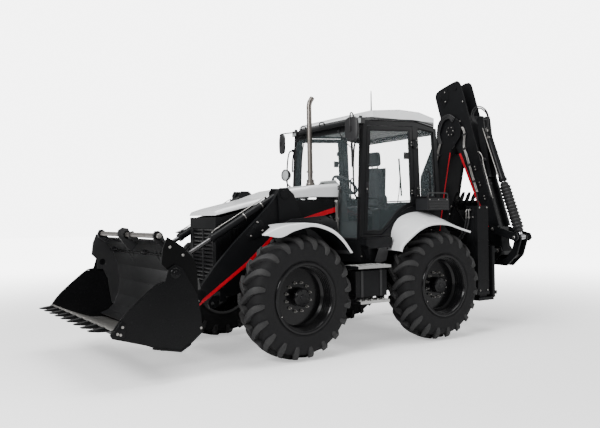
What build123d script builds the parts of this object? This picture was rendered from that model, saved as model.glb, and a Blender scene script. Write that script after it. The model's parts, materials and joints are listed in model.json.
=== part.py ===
from build123d import *
import math
import os

os.makedirs("parts", exist_ok=True)

# Backhoe loader: +X forward, +Y left, +Z up, millimetres, origin on the ground under
# the middle of the whole machine's box. Side-view tables give X from the front axle.

# ---------------------------------------------------------------- driving dimensions
FX = 885.0              # front axle, X in the model's frame
WHEELBASE = 2200.0
TYRE_R = 715.0
TYRE_HALF = 215.0       # half the tyre's width
RIM_R = 385.0           # bead seat radius
WHEEL_Y = 985.0         # wheel centre plane
KINGPIN_Y = 730.0
ARM_IN, ARM_OUT = 498.0, 552.0        # loader arm, inner and outer face
CYL_Y = 443.0                         # centre plane of the loader cylinders
TOWER_IN0, TOWER_IN1 = 368.0, 386.0   # inner tower plate
TOWER_OUT0, TOWER_OUT1 = 562.0, 582.0  # outer tower plate
HOOD_HALF = 356.0
HOOD_ROUND = 50.0       # radius along the hood's shoulders
AP = (-110.0, 1900.0)   # arm pivot (x, z)
TP = (-110.0, 1900.0)   # top pin of the tilt cylinders, on the arm pivot
BP = (1160.0, 680.0)    # bucket pivot on the arms
TR = (1130.0, 1200.0)   # tilt rod eye on the bucket
LB = (-400.0, 545.0)    # lower eye of the lift cylinder
LR = (262.0, 1502.0)    # lift rod eye on the arm
CLAM = (1570.0, 1080.0)  # pivot of the bucket's jaw
BUCKET_HALF = 1185.0
CAB_HALF = 780.0
CAB_WALL = 50.0
XB = -3850.0            # plane of the folded backhoe and swing axis
YK = -680.0             # swing axis
BF = (-420.0, 740.0)    # boom foot (y, z)
BB = (-780.0, 1140.0)   # boom cylinder base (y, z)
BR = (-620.0, 2250.0)   # boom cylinder rod eye (y, z)
DP = (-40.0, 2960.0)    # dipper pivot (y, z)
DA = (-290.0, 3516.0)   # dipper tail pin (y, z)
DE = (-420.0, 1220.0)   # dipper cylinder base (y, z)
P3 = (800.0, 1100.0)    # digging bucket pivot (y, z)
P4 = (672.0, 936.0)     # tipping link pin on the bucket (y, z)
P1 = (745.0, 1415.0)    # tipping lever pivot on the dipper extension (y, z)
P2 = (1120.0, 1300.0)   # bucket cylinder rod eye on the lever (y, z)
GB = (470.0, 3080.0)    # bucket cylinder base (y, z)
BOOM_HALF = 170.0       # half the boom's width
DIP_HALF = 132.0        # half the dipper's width


def W(x, y, z):
    """Point in the model's frame, x counted from the front axle."""
    return (FX + x, y, z)


def side(y):
    """Sketch plane seen from the left: local x forward, local y up."""
    return Plane(origin=(FX, y, 0), x_dir=(1, 0, 0), z_dir=(0, -1, 0))


def cross(x):
    """Sketch plane across the machine: local x to the left, local y up."""
    return Plane(origin=(FX + x, 0, 0), x_dir=(0, 1, 0), z_dir=(1, 0, 0))


def plate(points, y0, y1, mode=Mode.ADD):
    """Side-view outline given thickness from y0 to y1."""
    with BuildSketch(side(y1)) as outline:
        with BuildLine():
            Polyline(*points, close=True)
        make_face()
    extrude(outline.sketch, amount=y1 - y0, mode=mode)


def cplate(points, x0, x1, mode=Mode.ADD):
    """Outline across the machine given thickness from x0 to x1."""
    with BuildSketch(cross(x0)) as outline:
        with BuildLine():
            Polyline(*points, close=True)
        make_face()
    extrude(outline.sketch, amount=x1 - x0, mode=mode)


def block(x0, x1, y0, y1, z0, z1, mode=Mode.ADD):
    with Locations(W((x0 + x1) / 2, (y0 + y1) / 2, (z0 + z1) / 2)):
        Box(abs(x1 - x0), abs(y1 - y0), abs(z1 - z0), mode=mode)


def bar(p0, p1, radius, mode=Mode.ADD):
    axis = Vector(*p1) - Vector(*p0)
    with BuildSketch(Plane(origin=p0, z_dir=axis)) as ring:
        Circle(radius)
    extrude(ring.sketch, amount=axis.length, mode=mode)


def ybar(x, z, y0, y1, radius, mode=Mode.ADD):
    bar(W(x, y0, z), W(x, y1, z), radius, mode)


def xbar(y, z, x0, x1, radius, mode=Mode.ADD):
    bar(W(x0, y, z), W(x1, y, z), radius, mode)


def strip(points, t):
    """Closed outline of a bent plate: the table is one face, t its thickness to the left."""
    n = len(points)
    out = []
    for i in range(n):
        dirs = []
        for a, b in ((i - 1, i), (i, i + 1)):
            if a >= 0 and b < n:
                dx, dy = points[b][0] - points[a][0], points[b][1] - points[a][1]
                d = math.hypot(dx, dy)
                dirs.append((-dy / d, dx / d))
        nx = sum(d[0] for d in dirs) / len(dirs)
        ny = sum(d[1] for d in dirs) / len(dirs)
        k = nx * nx + ny * ny
        out.append((points[i][0] + nx * t / k, points[i][1] + ny * t / k))
    return list(points) + out[::-1]


def along(p, q, s):
    """Point at distance s from p towards q, in a side or cross view."""
    d = math.dist(p, q)
    return (p[0] + (q[0] - p[0]) * s / d, p[1] + (q[1] - p[1]) * s / d)


def plan_cut(points, z0, z1):
    """Prism taken off a piece, its outline given from above (x, y)."""
    with BuildSketch(Plane(origin=(FX, 0, z0))) as outline:
        with BuildLine():
            Polyline(*points, close=True)
        make_face()
    extrude(outline.sketch, amount=z1 - z0, mode=Mode.SUBTRACT)


def save(builder, name):
    builder.part.label = name
    export_step(builder.part, f"parts/{name}.step")


# ---------------------------------------------------------------- chassis
# x, z of the frame rail seen from the side
RAIL = [(600, 1000), (600, 700), (260, 700), (210, 880), (-210, 880), (-300, 600),
        (-1850, 600), (-1980, 880), (-2420, 880), (-2520, 560), (-3000, 560),
        (-3000, 1180), (-2000, 1180), (-1150, 1000)]
with BuildPart() as chassis_frame:
    for s in (-1, 1):
        plate(RAIL, 300 if s > 0 else -340, 340 if s > 0 else -300)
    # cross members: x0, x1, z0, z1
    for x0, x1, z0, z1 in [(560, 640, 640, 1000), (-330, -250, 640, 980), (-1500, -1150, 480, 900),
                           (-1950, -1850, 640, 1040), (-3000, -2900, 560, 1180)]:
        block(x0, x1, -340, 340, z0, z1)
    # lower tie between the belly blocks
    block(-1850, -330, -120, 120, 520, 620)
    # tie-down lugs under the nose
    for y0, y1 in [(-235, -205), (205, 235)]:
        plate([(600, 700), (600, 600), (640, 560), (720, 556), (740, 600), (730, 650), (680, 700)], y0, y1)
        ybar(690, 610, y0 - 1, y1 + 1, 22, Mode.SUBTRACT)
    # mounts that carry the cab floor
    for s in (-1, 1):
        for x0, x1, z0 in [(-1290, -1210, 1010), (-2010, -1930, 1150)]:
            block(x0, x1, *sorted((s * 298, s * 342)), z0, 1262)
            bar(W((x0 + x1) / 2, s * 320, 1255), W((x0 + x1) / 2, s * 320, 1290), 36)
    # arms that carry the lower eyes of the lift cylinders
    for s in (-1, 1):
        plate([(-330, 640), (-340, 480), (-460, 480), (-480, 640), (-470, 760), (-330, 760)],
              *sorted((s * 340, s * 374)))
        ybar(LB[0], LB[1], s * 374, s * 492, 24)
        plate([(-330, 600), (-340, 490), (-460, 490), (-470, 600)], *sorted((s * 492, s * 512)))
save(chassis_frame, "chassis_frame")

with BuildPart() as loader_towers:
    # twin plates with the arm and both cylinders between them; the outer one stops above the steered tyre
    TOWER_IN = [(-170, 1980), (-60, 1980), (-30, 1930), (-50, 1560), (-140, 1240), (-330, 1180), (-470, 780),
                (-560, 780), (-500, 1300), (-360, 1640), (-260, 1900)]
    TOWER_OUT = [(-170, 1980), (-60, 1980), (-30, 1930), (-50, 1560), (-140, 1240), (-300, 1130), (-470, 1130),
                 (-500, 1300), (-360, 1640), (-260, 1900)]
    for s in (-1, 1):
        plate(TOWER_IN, *sorted((s * TOWER_IN0, s * TOWER_IN1)))
        plate(TOWER_OUT, *sorted((s * TOWER_OUT0, s * TOWER_OUT1)))
        # back web between the two plates
        plate([(-250, 1860), (-225, 1860), (-330, 1610), (-462, 1300), (-440, 1140), (-468, 1140), (-494, 1296),
               (-354, 1632)], *sorted((s * (TOWER_IN1 - 2), s * (TOWER_OUT0 + 2))))
        # foot on the frame rail
        block(-550, -480, *sorted((s * 340, s * TOWER_IN0)), 790, 1000)
        ybar(AP[0], AP[1], s * (TOWER_IN0 - 4), s * (TOWER_IN0 + 1), 60)
        ybar(AP[0], AP[1], s * (TOWER_OUT1 - 1), s * (TOWER_OUT1 + 14), 52)
        ybar(AP[0], AP[1], s * (TOWER_IN0 + 1), s * (TOWER_OUT1 - 1), 30)
save(loader_towers, "loader_towers")

with BuildPart() as engine_block:
    block(-980, 380, -270, 270, 985, 1560)
save(engine_block, "engine_block")

with BuildPart() as hood:
    # x, z of the hood's outline; it is open below and at the rear
    TOP = [(705, 1655), (690, 1705), (560, 1745), (20, 1868), (-290, 1972), (-750, 2040), (-1125, 2068)]
    plate([(-1125, 1886), (-600, 1880), (-250, 1852), (100, 1790)] + TOP, -HOOD_HALF, HOOD_HALF)
    # long edges between the top and the sides, from the third table point back
    shoulders = []
    for e in hood.edges():
        ends = [e.position_at(0), e.position_at(1)]
        if all(abs(abs(v.Y) - HOOD_HALF) < 1 and any(abs(v.X - FX - p[0]) < 1 and abs(v.Z - p[1]) < 1 for p in TOP[2:])
               for v in ends) and abs(ends[0].Y - ends[1].Y) < 1:
            shoulders.append(e)
    fillet(shoulders, HOOD_ROUND)
    plate([(-1160, 1860), (-600, 1860), (-250, 1832), (100, 1770), (640, 1640), (640, 1700), (550, 1720), (14, 1842),
           (-294, 1947), (-754, 2015), (-1160, 2043)], -HOOD_HALF + 24, HOOD_HALF - 24, Mode.SUBTRACT)
save(hood, "hood")

with BuildPart() as engine_panels:
    # side panels below the hood, z at the lower edge follows the stripe; nose panel in front
    SIDE = [(640, 1630), (100, 1762), (-250, 1826), (-600, 1853), (-1120, 1858), (-1120, 1700), (-900, 1650),
            (-250, 1490), (100, 1400), (640, 1180)]
    for s in (-1, 1):
        plate(SIDE, *sorted((s * 330, s * 352)))
    with BuildSketch(cross(640)):
        with BuildLine():
            Polyline((-350, 765), (350, 765), (352, 1636), (-352, 1636), close=True)
        make_face()
    extrude(amount=56)
    # opening of the grille
    block(655, 720, -280, 280, 860, 1500, Mode.SUBTRACT)
save(engine_panels, "engine_panels")

# ---------------------------------------------------------------- axles, knuckles and wheels
AXLES = [("front", 0.0), ("rear", -WHEELBASE)]       # name, x
with BuildPart() as axles:
    for name, x in AXLES:
        bar(W(x, -640, TYRE_R), W(x, 640, TYRE_R), 88)
        with Locations(W(x, 0, TYRE_R)):
            Sphere(172)
        for s in (-1, 1):
            # fork round the knuckle
            block(x - 90, x + 90, *sorted((s * 590, s * 640)), TYRE_R - 128, TYRE_R + 128)
            for z0, z1 in [(TYRE_R + 98, TYRE_R + 128), (TYRE_R - 128, TYRE_R - 98)]:
                block(x - 70, x + 70, *sorted((s * 620, s * KINGPIN_Y)), z0, z1)
                bar(W(x, s * KINGPIN_Y, z0), W(x, s * KINGPIN_Y, z1), 70)
            # pad under the frame rail
            block(x - 110, x + 110, *sorted((s * 290, s * 350)), TYRE_R + 40, 878)
save(axles, "axles")

CORNERS = [("front_left", 0.0, 1), ("front_right", 0.0, -1), ("rear_left", -WHEELBASE, 1), ("rear_right", -WHEELBASE, -1)]
for corner, x, s in CORNERS:
    with BuildPart() as knuckle:
        bar(W(x, s * KINGPIN_Y, TYRE_R - 97), W(x, s * KINGPIN_Y, TYRE_R + 97), 66)
        bar(W(x, s * KINGPIN_Y, TYRE_R), W(x, s * (WHEEL_Y - 6), TYRE_R), 92)
        bar(W(x, s * (WHEEL_Y - 60), TYRE_R), W(x, s * (WHEEL_Y - 6), TYRE_R), 150)
    save(knuckle, f"knuckle_{corner}")

    with BuildPart() as rim:
        # radius, outward offset from the wheel's centre plane: hub cap, dished disc, barrel with both flanges
        RIM = [(0, 138), (92, 138), (104, 126), (108, 34), (322, 34), (346, 60), (360, 196), (366, 206), (402, 206),
               (402, 192), (384, 188), (384, -188), (402, -192), (402, -206), (366, -206), (362, -190), (360, 0),
               (330, 16), (160, 16), (160, -3), (0, -3)]
        with BuildSketch(Plane(origin=W(x, s * WHEEL_Y, TYRE_R), x_dir=(1, 0, 0), z_dir=(0, 0, 1))):
            with BuildLine():
                Polyline(*[(r, s * o) for r, o in RIM], close=True)
            make_face()
        revolve(axis=Axis(W(x, s * WHEEL_Y, TYRE_R), (0, 1, 0)))
    save(rim, f"rim_{corner}")

    with BuildPart() as tyre:
        with BuildSketch(Plane(origin=W(x, s * WHEEL_Y, TYRE_R), x_dir=(1, 0, 0), z_dir=(0, 0, 1))):
            with BuildLine():
                Polyline((385, -170), (404, -184), (450, -196), (560, -215), (640, -208), (692, -188), (715, -150),
                         (715, 150), (692, 188), (640, 208), (560, 215), (450, 196), (404, 184), (385, 170), close=True)
            make_face()
        revolve(axis=Axis(W(x, s * WHEEL_Y, TYRE_R), (0, 1, 0)))
    save(tyre, f"tyre_{corner}")


# ---------------------------------------------------------------- fenders
with BuildPart() as front_fenders:
    # upper face of the sheet, rear to front
    FF = [(-675, 1207), (-558, 1351), (-413, 1466), (-243, 1530), (-75, 1555), (142, 1550), (327, 1517), (533, 1441)]
    # lower edge of the outer lip, front to rear
    FLIP = [(533, 1430), (329, 1397), (223, 1438), (62, 1500), (-75, 1512), (-243, 1486), (-400, 1424), (-530, 1322),
            (-640, 1196)]
    for s in (-1, 1):
        plate(strip(FF, -16), *sorted((s * 790, s * 1192)))
        plate(FF + FLIP, *sorted((s * 1174, s * 1192)))
        # the front corner runs outward to a beak
        plan_cut([(560, s * 770), (560, s * 1150), (340, s * 1000), (250, s * 780)], 1300, 1600)
        # inner panel and its bracket to the frame
        plate([(-660, 1225), (-552, 1345), (-413, 1456), (-243, 1520), (-60, 1546), (60, 1546), (-80, 1600), (-560, 1640),
               (-760, 1560), (-800, 1225)], *sorted((s * 776, s * 792)))
        block(-640, -400, *sorted((s * 352, s * 780)), 1560, 1584)
save(front_fenders, "front_fenders")

with BuildPart() as rear_fenders:
    # upper face of the sheet, front to rear: beside the cab, and at the outer edge where it hangs lower
    RF_IN = [(-1586, 1188), (-1632, 1290), (-1664, 1450), (-1765, 1586), (-1927, 1655), (-2130, 1682), (-2340, 1665),
             (-2540, 1580), (-2716, 1420)]
    RF_OUT = [(-1436, 1190), (-1470, 1262), (-1578, 1345), (-1758, 1456), (-1940, 1517), (-2126, 1532), (-2314, 1514),
              (-2505, 1463), (-2716, 1410)]
    for s in (-1, 1):
        for y, table in ((CAB_HALF, RF_IN), (1186, RF_OUT)):
            with BuildSketch(side(s * y)):
                with BuildLine():
                    Polyline(*strip(table, 12), close=True)
                make_face()
        loft(ruled=True)
        # turned-down lip
        plate(strip(RF_OUT, 30), *sorted((s * 1172, s * 1188)))
save(rear_fenders, "rear_fenders")

# ---------------------------------------------------------------- cab
# x, z of the cab's side: outline, door opening, rear quarter window
CAB_SIDE = [(-1125, 1040), (-1115, 1380), (-1200, 2850), (-2100, 2890), (-2500, 2820), (-2560, 1800), (-2560, 1440),
            (-2480, 1464), (-2200, 1506), (-1930, 1464), (-1800, 1396), (-1684, 1296), (-1600, 1200), (-1515, 1040)]
DOOR_HOLE = [(-1185, 1385), (-1262, 2790), (-2052, 2826), (-2092, 1763), (-1958, 1730), (-1855, 1680), (-1770, 1615),
             (-1706, 1553), (-1645, 1498), (-1565, 1440), (-1496, 1385)]
DOOR_EDGE = [(-1192, 1393), (-1269, 2783), (-2046, 2819), (-2084, 1770), (-1955, 1738), (-1850, 1688), (-1765, 1623),
             (-1700, 1561), (-1640, 1506), (-1560, 1447), (-1492, 1393)]
DOOR_SIGHT = [(-1250, 1440), (-1318, 2735), (-1998, 2768), (-2030, 1812), (-1935, 1780), (-1832, 1728), (-1741, 1660),
              (-1669, 1585), (-1610, 1530), (-1545, 1478), (-1500, 1440)]
HINGE_X, HINGE_Y = -2075.0, 795.0
HINGES = [(1915, 1975), (2560, 2620)]      # z of the doors' own knuckles
QUARTER = [(-2190, 1880), (-2150, 2810), (-2440, 2775), (-2490, 1880)]
with BuildPart() as cab_frame:
    for s in (-1, 1):
        y0, y1 = sorted((s * (CAB_HALF - CAB_WALL), s * CAB_HALF))
        plate(CAB_SIDE, y0, y1)
        plate(DOOR_HOLE, y0 - 1, y1 + 1, Mode.SUBTRACT)
        plate(QUARTER, y0 - 1, y1 + 1, Mode.SUBTRACT)
        # fixed halves of the door's hinges: leaf on the pillar and two knuckles each
        for z0, z1 in HINGES:
            for z2, z3 in [(z0 - 30, z0 - 1), (z1 + 1, z1 + 30)]:
                block(-2140, HINGE_X, *sorted((s * (CAB_HALF - 1), s * (HINGE_Y + 5))), z2, z3)
                bar(W(HINGE_X, s * HINGE_Y, z2), W(HINGE_X, s * HINGE_Y, z3), 14)
                bar(W(HINGE_X, s * HINGE_Y, z2 - 1), W(HINGE_X, s * HINGE_Y, z3 + 1), 7.3, Mode.SUBTRACT)
    inner = CAB_HALF - CAB_WALL
    # front: bottom beam below the windscreen, header above it
    plate([(-1125, 1040), (-1120, 1330), (-1160, 1330), (-1165, 1040)], -inner, inner)
    plate([(-1192, 2760), (-1198, 2850), (-1250, 2852), (-1245, 2760)], -inner, inner)
    # rear: bottom wall and header
    block(-2560, -2530, -inner, inner, 1440, 1830)
    block(-2560, -2530, -600, 600, 1290, 1440)
    plate([(-2460, 2750), (-2500, 2820), (-2440, 2830), (-2410, 2760)], -inner, inner)
    # roof rails across
    block(-1700, -1640, -inner, inner, 2820, 2862)
save(cab_frame, "cab_frame")

with BuildPart() as cab_roof:
    ROOF = [(-1125, 2812), (-1130, 2868), (-1185, 2925), (-1310, 2982), (-1800, 3030), (-2160, 3022), (-2480, 2950),
            (-2570, 2890), (-2560, 2850), (-2500, 2826), (-2100, 2896), (-1200, 2856)]
    plate(ROOF, -CAB_HALF - 20, CAB_HALF + 20)
    for s in (-1, 1):
        plan_cut([(-1100, s * 560), (-1100, s * 820), (-1350, s * 820), (-1350, s * (CAB_HALF + 19)), (-1124, s * 560)],
                 2700, 3100)
        plan_cut([(-2600, s * 640), (-2600, s * 820), (-2440, s * 820), (-2440, s * (CAB_HALF + 19)), (-2571, s * 640)],
                 2700, 3100)
save(cab_roof, "cab_roof")

with BuildPart() as cab_floor:
    # floor plate, seat platform over the rear axle, tunnel above the gearbox
    block(-1690, -1168, -inner + 2, inner - 2, 1290, 1330)
    block(-2528, -1690, -600, 600, 1290, 1330)
    block(-2528, -2060, -560, 560, 1330, 1560)
    block(-1900, -1300, -290, 290, 1045, 1290)
    # inner arches above the rear wheels
    for s in (-1, 1):
        plate(strip([(-2516, 1460), (-2480, 1470), (-2200, 1512), (-1930, 1470), (-1800, 1402), (-1692, 1312)], 12),
              *sorted((s * 588, s * (inner - 2))))
        plate([(-2516, 1300), (-2516, 1464), (-2200, 1516), (-1930, 1474), (-1800, 1406), (-1692, 1312)],
              *sorted((s * 588, s * 600)))
save(cab_floor, "cab_floor")

with BuildPart() as cab_glass:
    g = 5.0
    # windscreen, rear window and quarter windows
    plate([(-1123, 1334), (-1189, 2756), (-1195, 2756), (-1129, 1334)], -inner + 3, inner - 3)
    plate([(-2536, 1836), (-2463, 2746), (-2469, 2746), (-2542, 1836)], -inner + 3, inner - 3)
    for s in (-1, 1):
        plate([(-2195, 1885), (-2156, 2804), (-2436, 2771), (-2484, 1885)], *sorted((s * (CAB_HALF - 30), s * (CAB_HALF - 24))))
save(cab_glass, "cab_glass")

with BuildPart() as seat:
    block(-2000, -1560, -160, 160, 1332, 1600)
    block(-2020, -1500, -250, 250, 1600, 1760)
    plate([(-2030, 1740), (-1930, 1740), (-1990, 2330), (-2080, 2330)], -240, 240)
    plate([(-2075, 2325), (-2000, 2325), (-2020, 2560), (-2090, 2560)], -130, 130)
save(seat, "seat")

with BuildPart() as front_console:
    plate([(-1175, 1335), (-1420, 1335), (-1400, 1500), (-1330, 1960), (-1180, 1960)], -230, 230)
    bar(W(-1390, 0, 1920), W(-1500, 0, 2060), 26)
    with BuildSketch(Plane(origin=W(-1500, 0, 2060), z_dir=(-110, 0, 140))):
        Circle(200)
        Circle(172, mode=Mode.SUBTRACT)
        Rectangle(380, 26)
    extrude(amount=24)
save(front_console, "front_console")

for name, s in [("left", 1), ("right", -1)]:
    y0, y1 = sorted((s * (CAB_HALF - 40), s * (CAB_HALF - 2)))
    with BuildPart() as door:
        plate(DOOR_EDGE, y0, y1)
        plate(DOOR_SIGHT, y0 - 1, y1 + 1, Mode.SUBTRACT)
        # hinge leaves with their knuckles and pins
        for z0, z1 in HINGES:
            block(-2046, -1990, *sorted((s * (CAB_HALF - 3), s * (HINGE_Y + 1))), z0, z1)
            block(HINGE_X, -2040, *sorted((s * (CAB_HALF + 5), s * (HINGE_Y + 5))), z0, z1)
            bar(W(HINGE_X, s * HINGE_Y, z0), W(HINGE_X, s * HINGE_Y, z1), 14)
            bar(W(HINGE_X, s * HINGE_Y, z0 - 28), W(HINGE_X, s * HINGE_Y, z1 + 28), 7)
    save(door, f"door_{name}")
    with BuildPart() as pane:
        plate([(-1256, 1446), (-1323, 2728), (-1993, 2761), (-2024, 1818), (-1931, 1786), (-1828, 1735), (-1737, 1667),
               (-1665, 1592), (-1606, 1537), (-1541, 1485), (-1502, 1446)],
              *sorted((s * (CAB_HALF - 24), s * (CAB_HALF - 18))))
    save(pane, f"door_glass_{name}")

with BuildPart() as exhaust_stack:
    # upright tube with a bend at its mouth: x, z along the centre line
    STACK = [(-742, 2052), (-734, 3070), (-746, 3122), (-786, 3182)]
    for p, q in zip(STACK, STACK[1:]):
        bar(W(p[0], 250, p[1]), W(q[0], 250, q[1]), 33)
    for p in STACK[1:-1]:
        with Locations(W(p[0], 250, p[1])):
            Sphere(33)
    bar(W(-750, 250, 3128), W(-792, 250, 3191), 27, Mode.SUBTRACT)
    bar(W(-742, 250, 2052), W(-741.5, 250, 2110), 48)
save(exhaust_stack, "exhaust_stack")

# ---------------------------------------------------------------- tanks and steps between the wheels
with BuildPart() as side_tanks:
    for s in (-1, 1):
        block(-1330, -832, *sorted((s * 360, s * 1040)), 640, 960)
        block(-1330, -832, *sorted((s * 340, s * 362)), 700, 900)
save(side_tanks, "side_tanks")

with BuildPart() as steps:
    for s in (-1, 1):
        # sill box below the door
        plate([(-1130, 1355), (-1556, 1355), (-1556, 1290), (-1530, 1220), (-1170, 1220), (-1125, 1260)],
              *sorted((s * (CAB_HALF + 2), s * 905)))
        plate([(-1180, 1222), (-1505, 1222), (-1480, 1075), (-1230, 1075)], *sorted((s * (CAB_HALF + 2), s * 860)))
        block(-1330, -800, *sorted((s * 860, s * 1130)), 990, 1024)
        block(-1330, -1290, *sorted((s * 900, s * 940)), 962, 992)
        block(-840, -800, *sorted((s * 900, s * 940)), 962, 992)
        block(-1300, -830, *sorted((s * 900, s * 1130)), 570, 600)
        block(-1300, -1270, *sorted((s * 900, s * 1030)), 598, 638)
        block(-860, -830, *sorted((s * 900, s * 1030)), 598, 638)
save(steps, "steps")

# ---------------------------------------------------------------- rear frame, stabilisers
with BuildPart() as rear_frame:
    # link beams from the frame rails and the slide frame behind the masts
    for s in (-1, 1):
        block(-3300, -3000, *sorted((s * 300, s * 340)), 560, 1180)
        # mast carrier plates
        block(-3300, -3050, *sorted((s * 780, s * 846)), 520, 1180)
    block(-3340, -3290, -1060, 1060, 1060, 1190)
    block(-3340, -3290, -1060, 1060, 470, 590)
    for s in (-1, 1):
        block(-3340, -3290, *sorted((s * 940, s * 1060)), 590, 1060)
        block(-3340, -3290, *sorted((s * 240, s * 340)), 590, 1060)
    # slide rails
    block(-3380, -3338, -1060, 1060, 1100, 1150)
    block(-3380, -3338, -1060, 1060, 510, 560)
save(rear_frame, "rear_frame")

MAST_Y0, MAST_Y1, MAST_X0, MAST_X1 = 848.0, 1040.0, -3236.0, -3012.0
with BuildPart() as stabiliser_masts:
    for s in (-1, 1):
        block(MAST_X0, MAST_X1, *sorted((s * MAST_Y0, s * MAST_Y1)), 520, 1752)
        block(MAST_X0 + 16, MAST_X1 - 16, *sorted((s * (MAST_Y0 + 16), s * (MAST_Y1 - 16))), 500, 1736, Mode.SUBTRACT)
        # carrier on the slide frame
        block(-3290, MAST_X0 + 1, *sorted((s * 880, s * 1010)), 600, 1150)
save(stabiliser_masts, "stabiliser_masts")

for name, s in [("left", 1), ("right", -1)]:
    with BuildPart() as leg:
        block(MAST_X0 + 24, MAST_X1 - 24, *sorted((s * (MAST_Y0 + 24), s * (MAST_Y1 - 24))), 480, 1680)
        block(MAST_X0 - 50, MAST_X1 + 30, *sorted((s * (MAST_Y0 - 10), s * (MAST_Y1 + 40))), 440, 482)
        block(MAST_X0 + 40, MAST_X1 - 40, *sorted((s * (MAST_Y0 + 10), s * (MAST_Y1 - 10))), 482, 512)
    save(leg, f"stabiliser_leg_{name}")

with BuildPart() as vent_boxes:
    for s in (-1, 1):
        block(-2500, -2100, *sorted((s * CAB_HALF, s * 1000)), 1700, 1852)
save(vent_boxes, "vent_boxes")

# ---------------------------------------------------------------- loader
with BuildPart() as loader_arms:
    # x, z of one arm's side
    ARM = [(-175, 1955), (-60, 1965), (0, 1850), (160, 1690), (560, 1330), (842, 1037), (1010, 830), (1215, 745),
           (1240, 660), (1190, 600), (1110, 590), (984, 660), (372, 1075), (60, 1340), (-60, 1560), (-190, 1830)]
    for s in (-1, 1):
        plate(ARM, *sorted((s * ARM_IN, s * ARM_OUT)))
        ybar(AP[0], AP[1], s * (ARM_IN - 2), s * (ARM_OUT + 2), 30.3, Mode.SUBTRACT)
        # hinge pin of the bucket, both ends standing out of the arm
        ybar(BP[0], BP[1], s * (ARM_IN - 36), s * (ARM_OUT + 36), 32)
        # lug for the lift rod's eye
        ybar(LR[0], LR[1], s * (ARM_IN - 12), s * ARM_IN, 46)
    # cross tube
    ybar(1030, 730, -ARM_IN - 2, ARM_IN + 2, 57)
save(loader_arms, "loader_arms")


def cylinder_barrel(p0, p1, length, centre, width, bore_r, r_out, r_end):
    """Barrel from its eye at p0 towards p1 in a side view, in the plane y=centre."""
    a, b = along(p0, p1, 62), along(p0, p1, length)
    c = along(p0, p1, length - 42)
    bar(W(a[0], centre, a[1]), W(b[0], centre, b[1]), r_out)
    bar(W(c[0], centre, c[1]), W(b[0], centre, b[1]), r_out + 6)
    ybar(p0[0], p0[1], centre - width / 2, centre + width / 2, r_end)
    m = along(p0, p1, 40)
    n = along(p0, p1, 75)
    bar(W(m[0], centre, m[1]), W(n[0], centre, n[1]), r_out - 6)


with BuildPart() as lift_cylinder_barrels:
    for s in (-1, 1):
        cylinder_barrel(LB, LR, 1010, s * CYL_Y, 84, 25, 46, 48)
        a, b = along(LB, LR, 108), along(LB, LR, 1080)
        bar(W(a[0], s * CYL_Y, a[1]), W(b[0], s * CYL_Y, b[1]), 29, Mode.SUBTRACT)
        ybar(LB[0], LB[1], s * (CYL_Y - 50), s * (CYL_Y + 50), 24.3, Mode.SUBTRACT)
save(lift_cylinder_barrels, "lift_cylinder_barrels")

with BuildPart() as lift_cylinder_rods:
    for s in (-1, 1):
        a = along(LR, LB, 961)
        bar(W(a[0], s * CYL_Y, a[1]), W(LR[0], s * CYL_Y, LR[1]), 28)
        ybar(LR[0], LR[1], s * CYL_Y - 36, s * CYL_Y + 36, 44)
save(lift_cylinder_rods, "lift_cylinder_rods")

with BuildPart() as tilt_cylinder_barrels:
    for s in (-1, 1):
        cylinder_barrel(TP, TR, 1060, s * CYL_Y, 92, 30, 46, 52)
        a, b = along(TP, TR, 108), along(TP, TR, 1120)
        bar(W(a[0], s * CYL_Y, a[1]), W(b[0], s * CYL_Y, b[1]), 29, Mode.SUBTRACT)
        ybar(TP[0], TP[1], s * (CYL_Y - 60), s * (CYL_Y + 60), 30.3, Mode.SUBTRACT)
save(tilt_cylinder_barrels, "tilt_cylinder_barrels")

with BuildPart() as tilt_cylinder_rods:
    for s in (-1, 1):
        a = along(TR, TP, 1150)
        bar(W(a[0], s * CYL_Y, a[1]), W(TR[0], s * CYL_Y, TR[1]), 28)
        ybar(TR[0], TR[1], s * CYL_Y - 34, s * CYL_Y + 34, 50)
save(tilt_cylinder_rods, "tilt_cylinder_rods")

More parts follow.
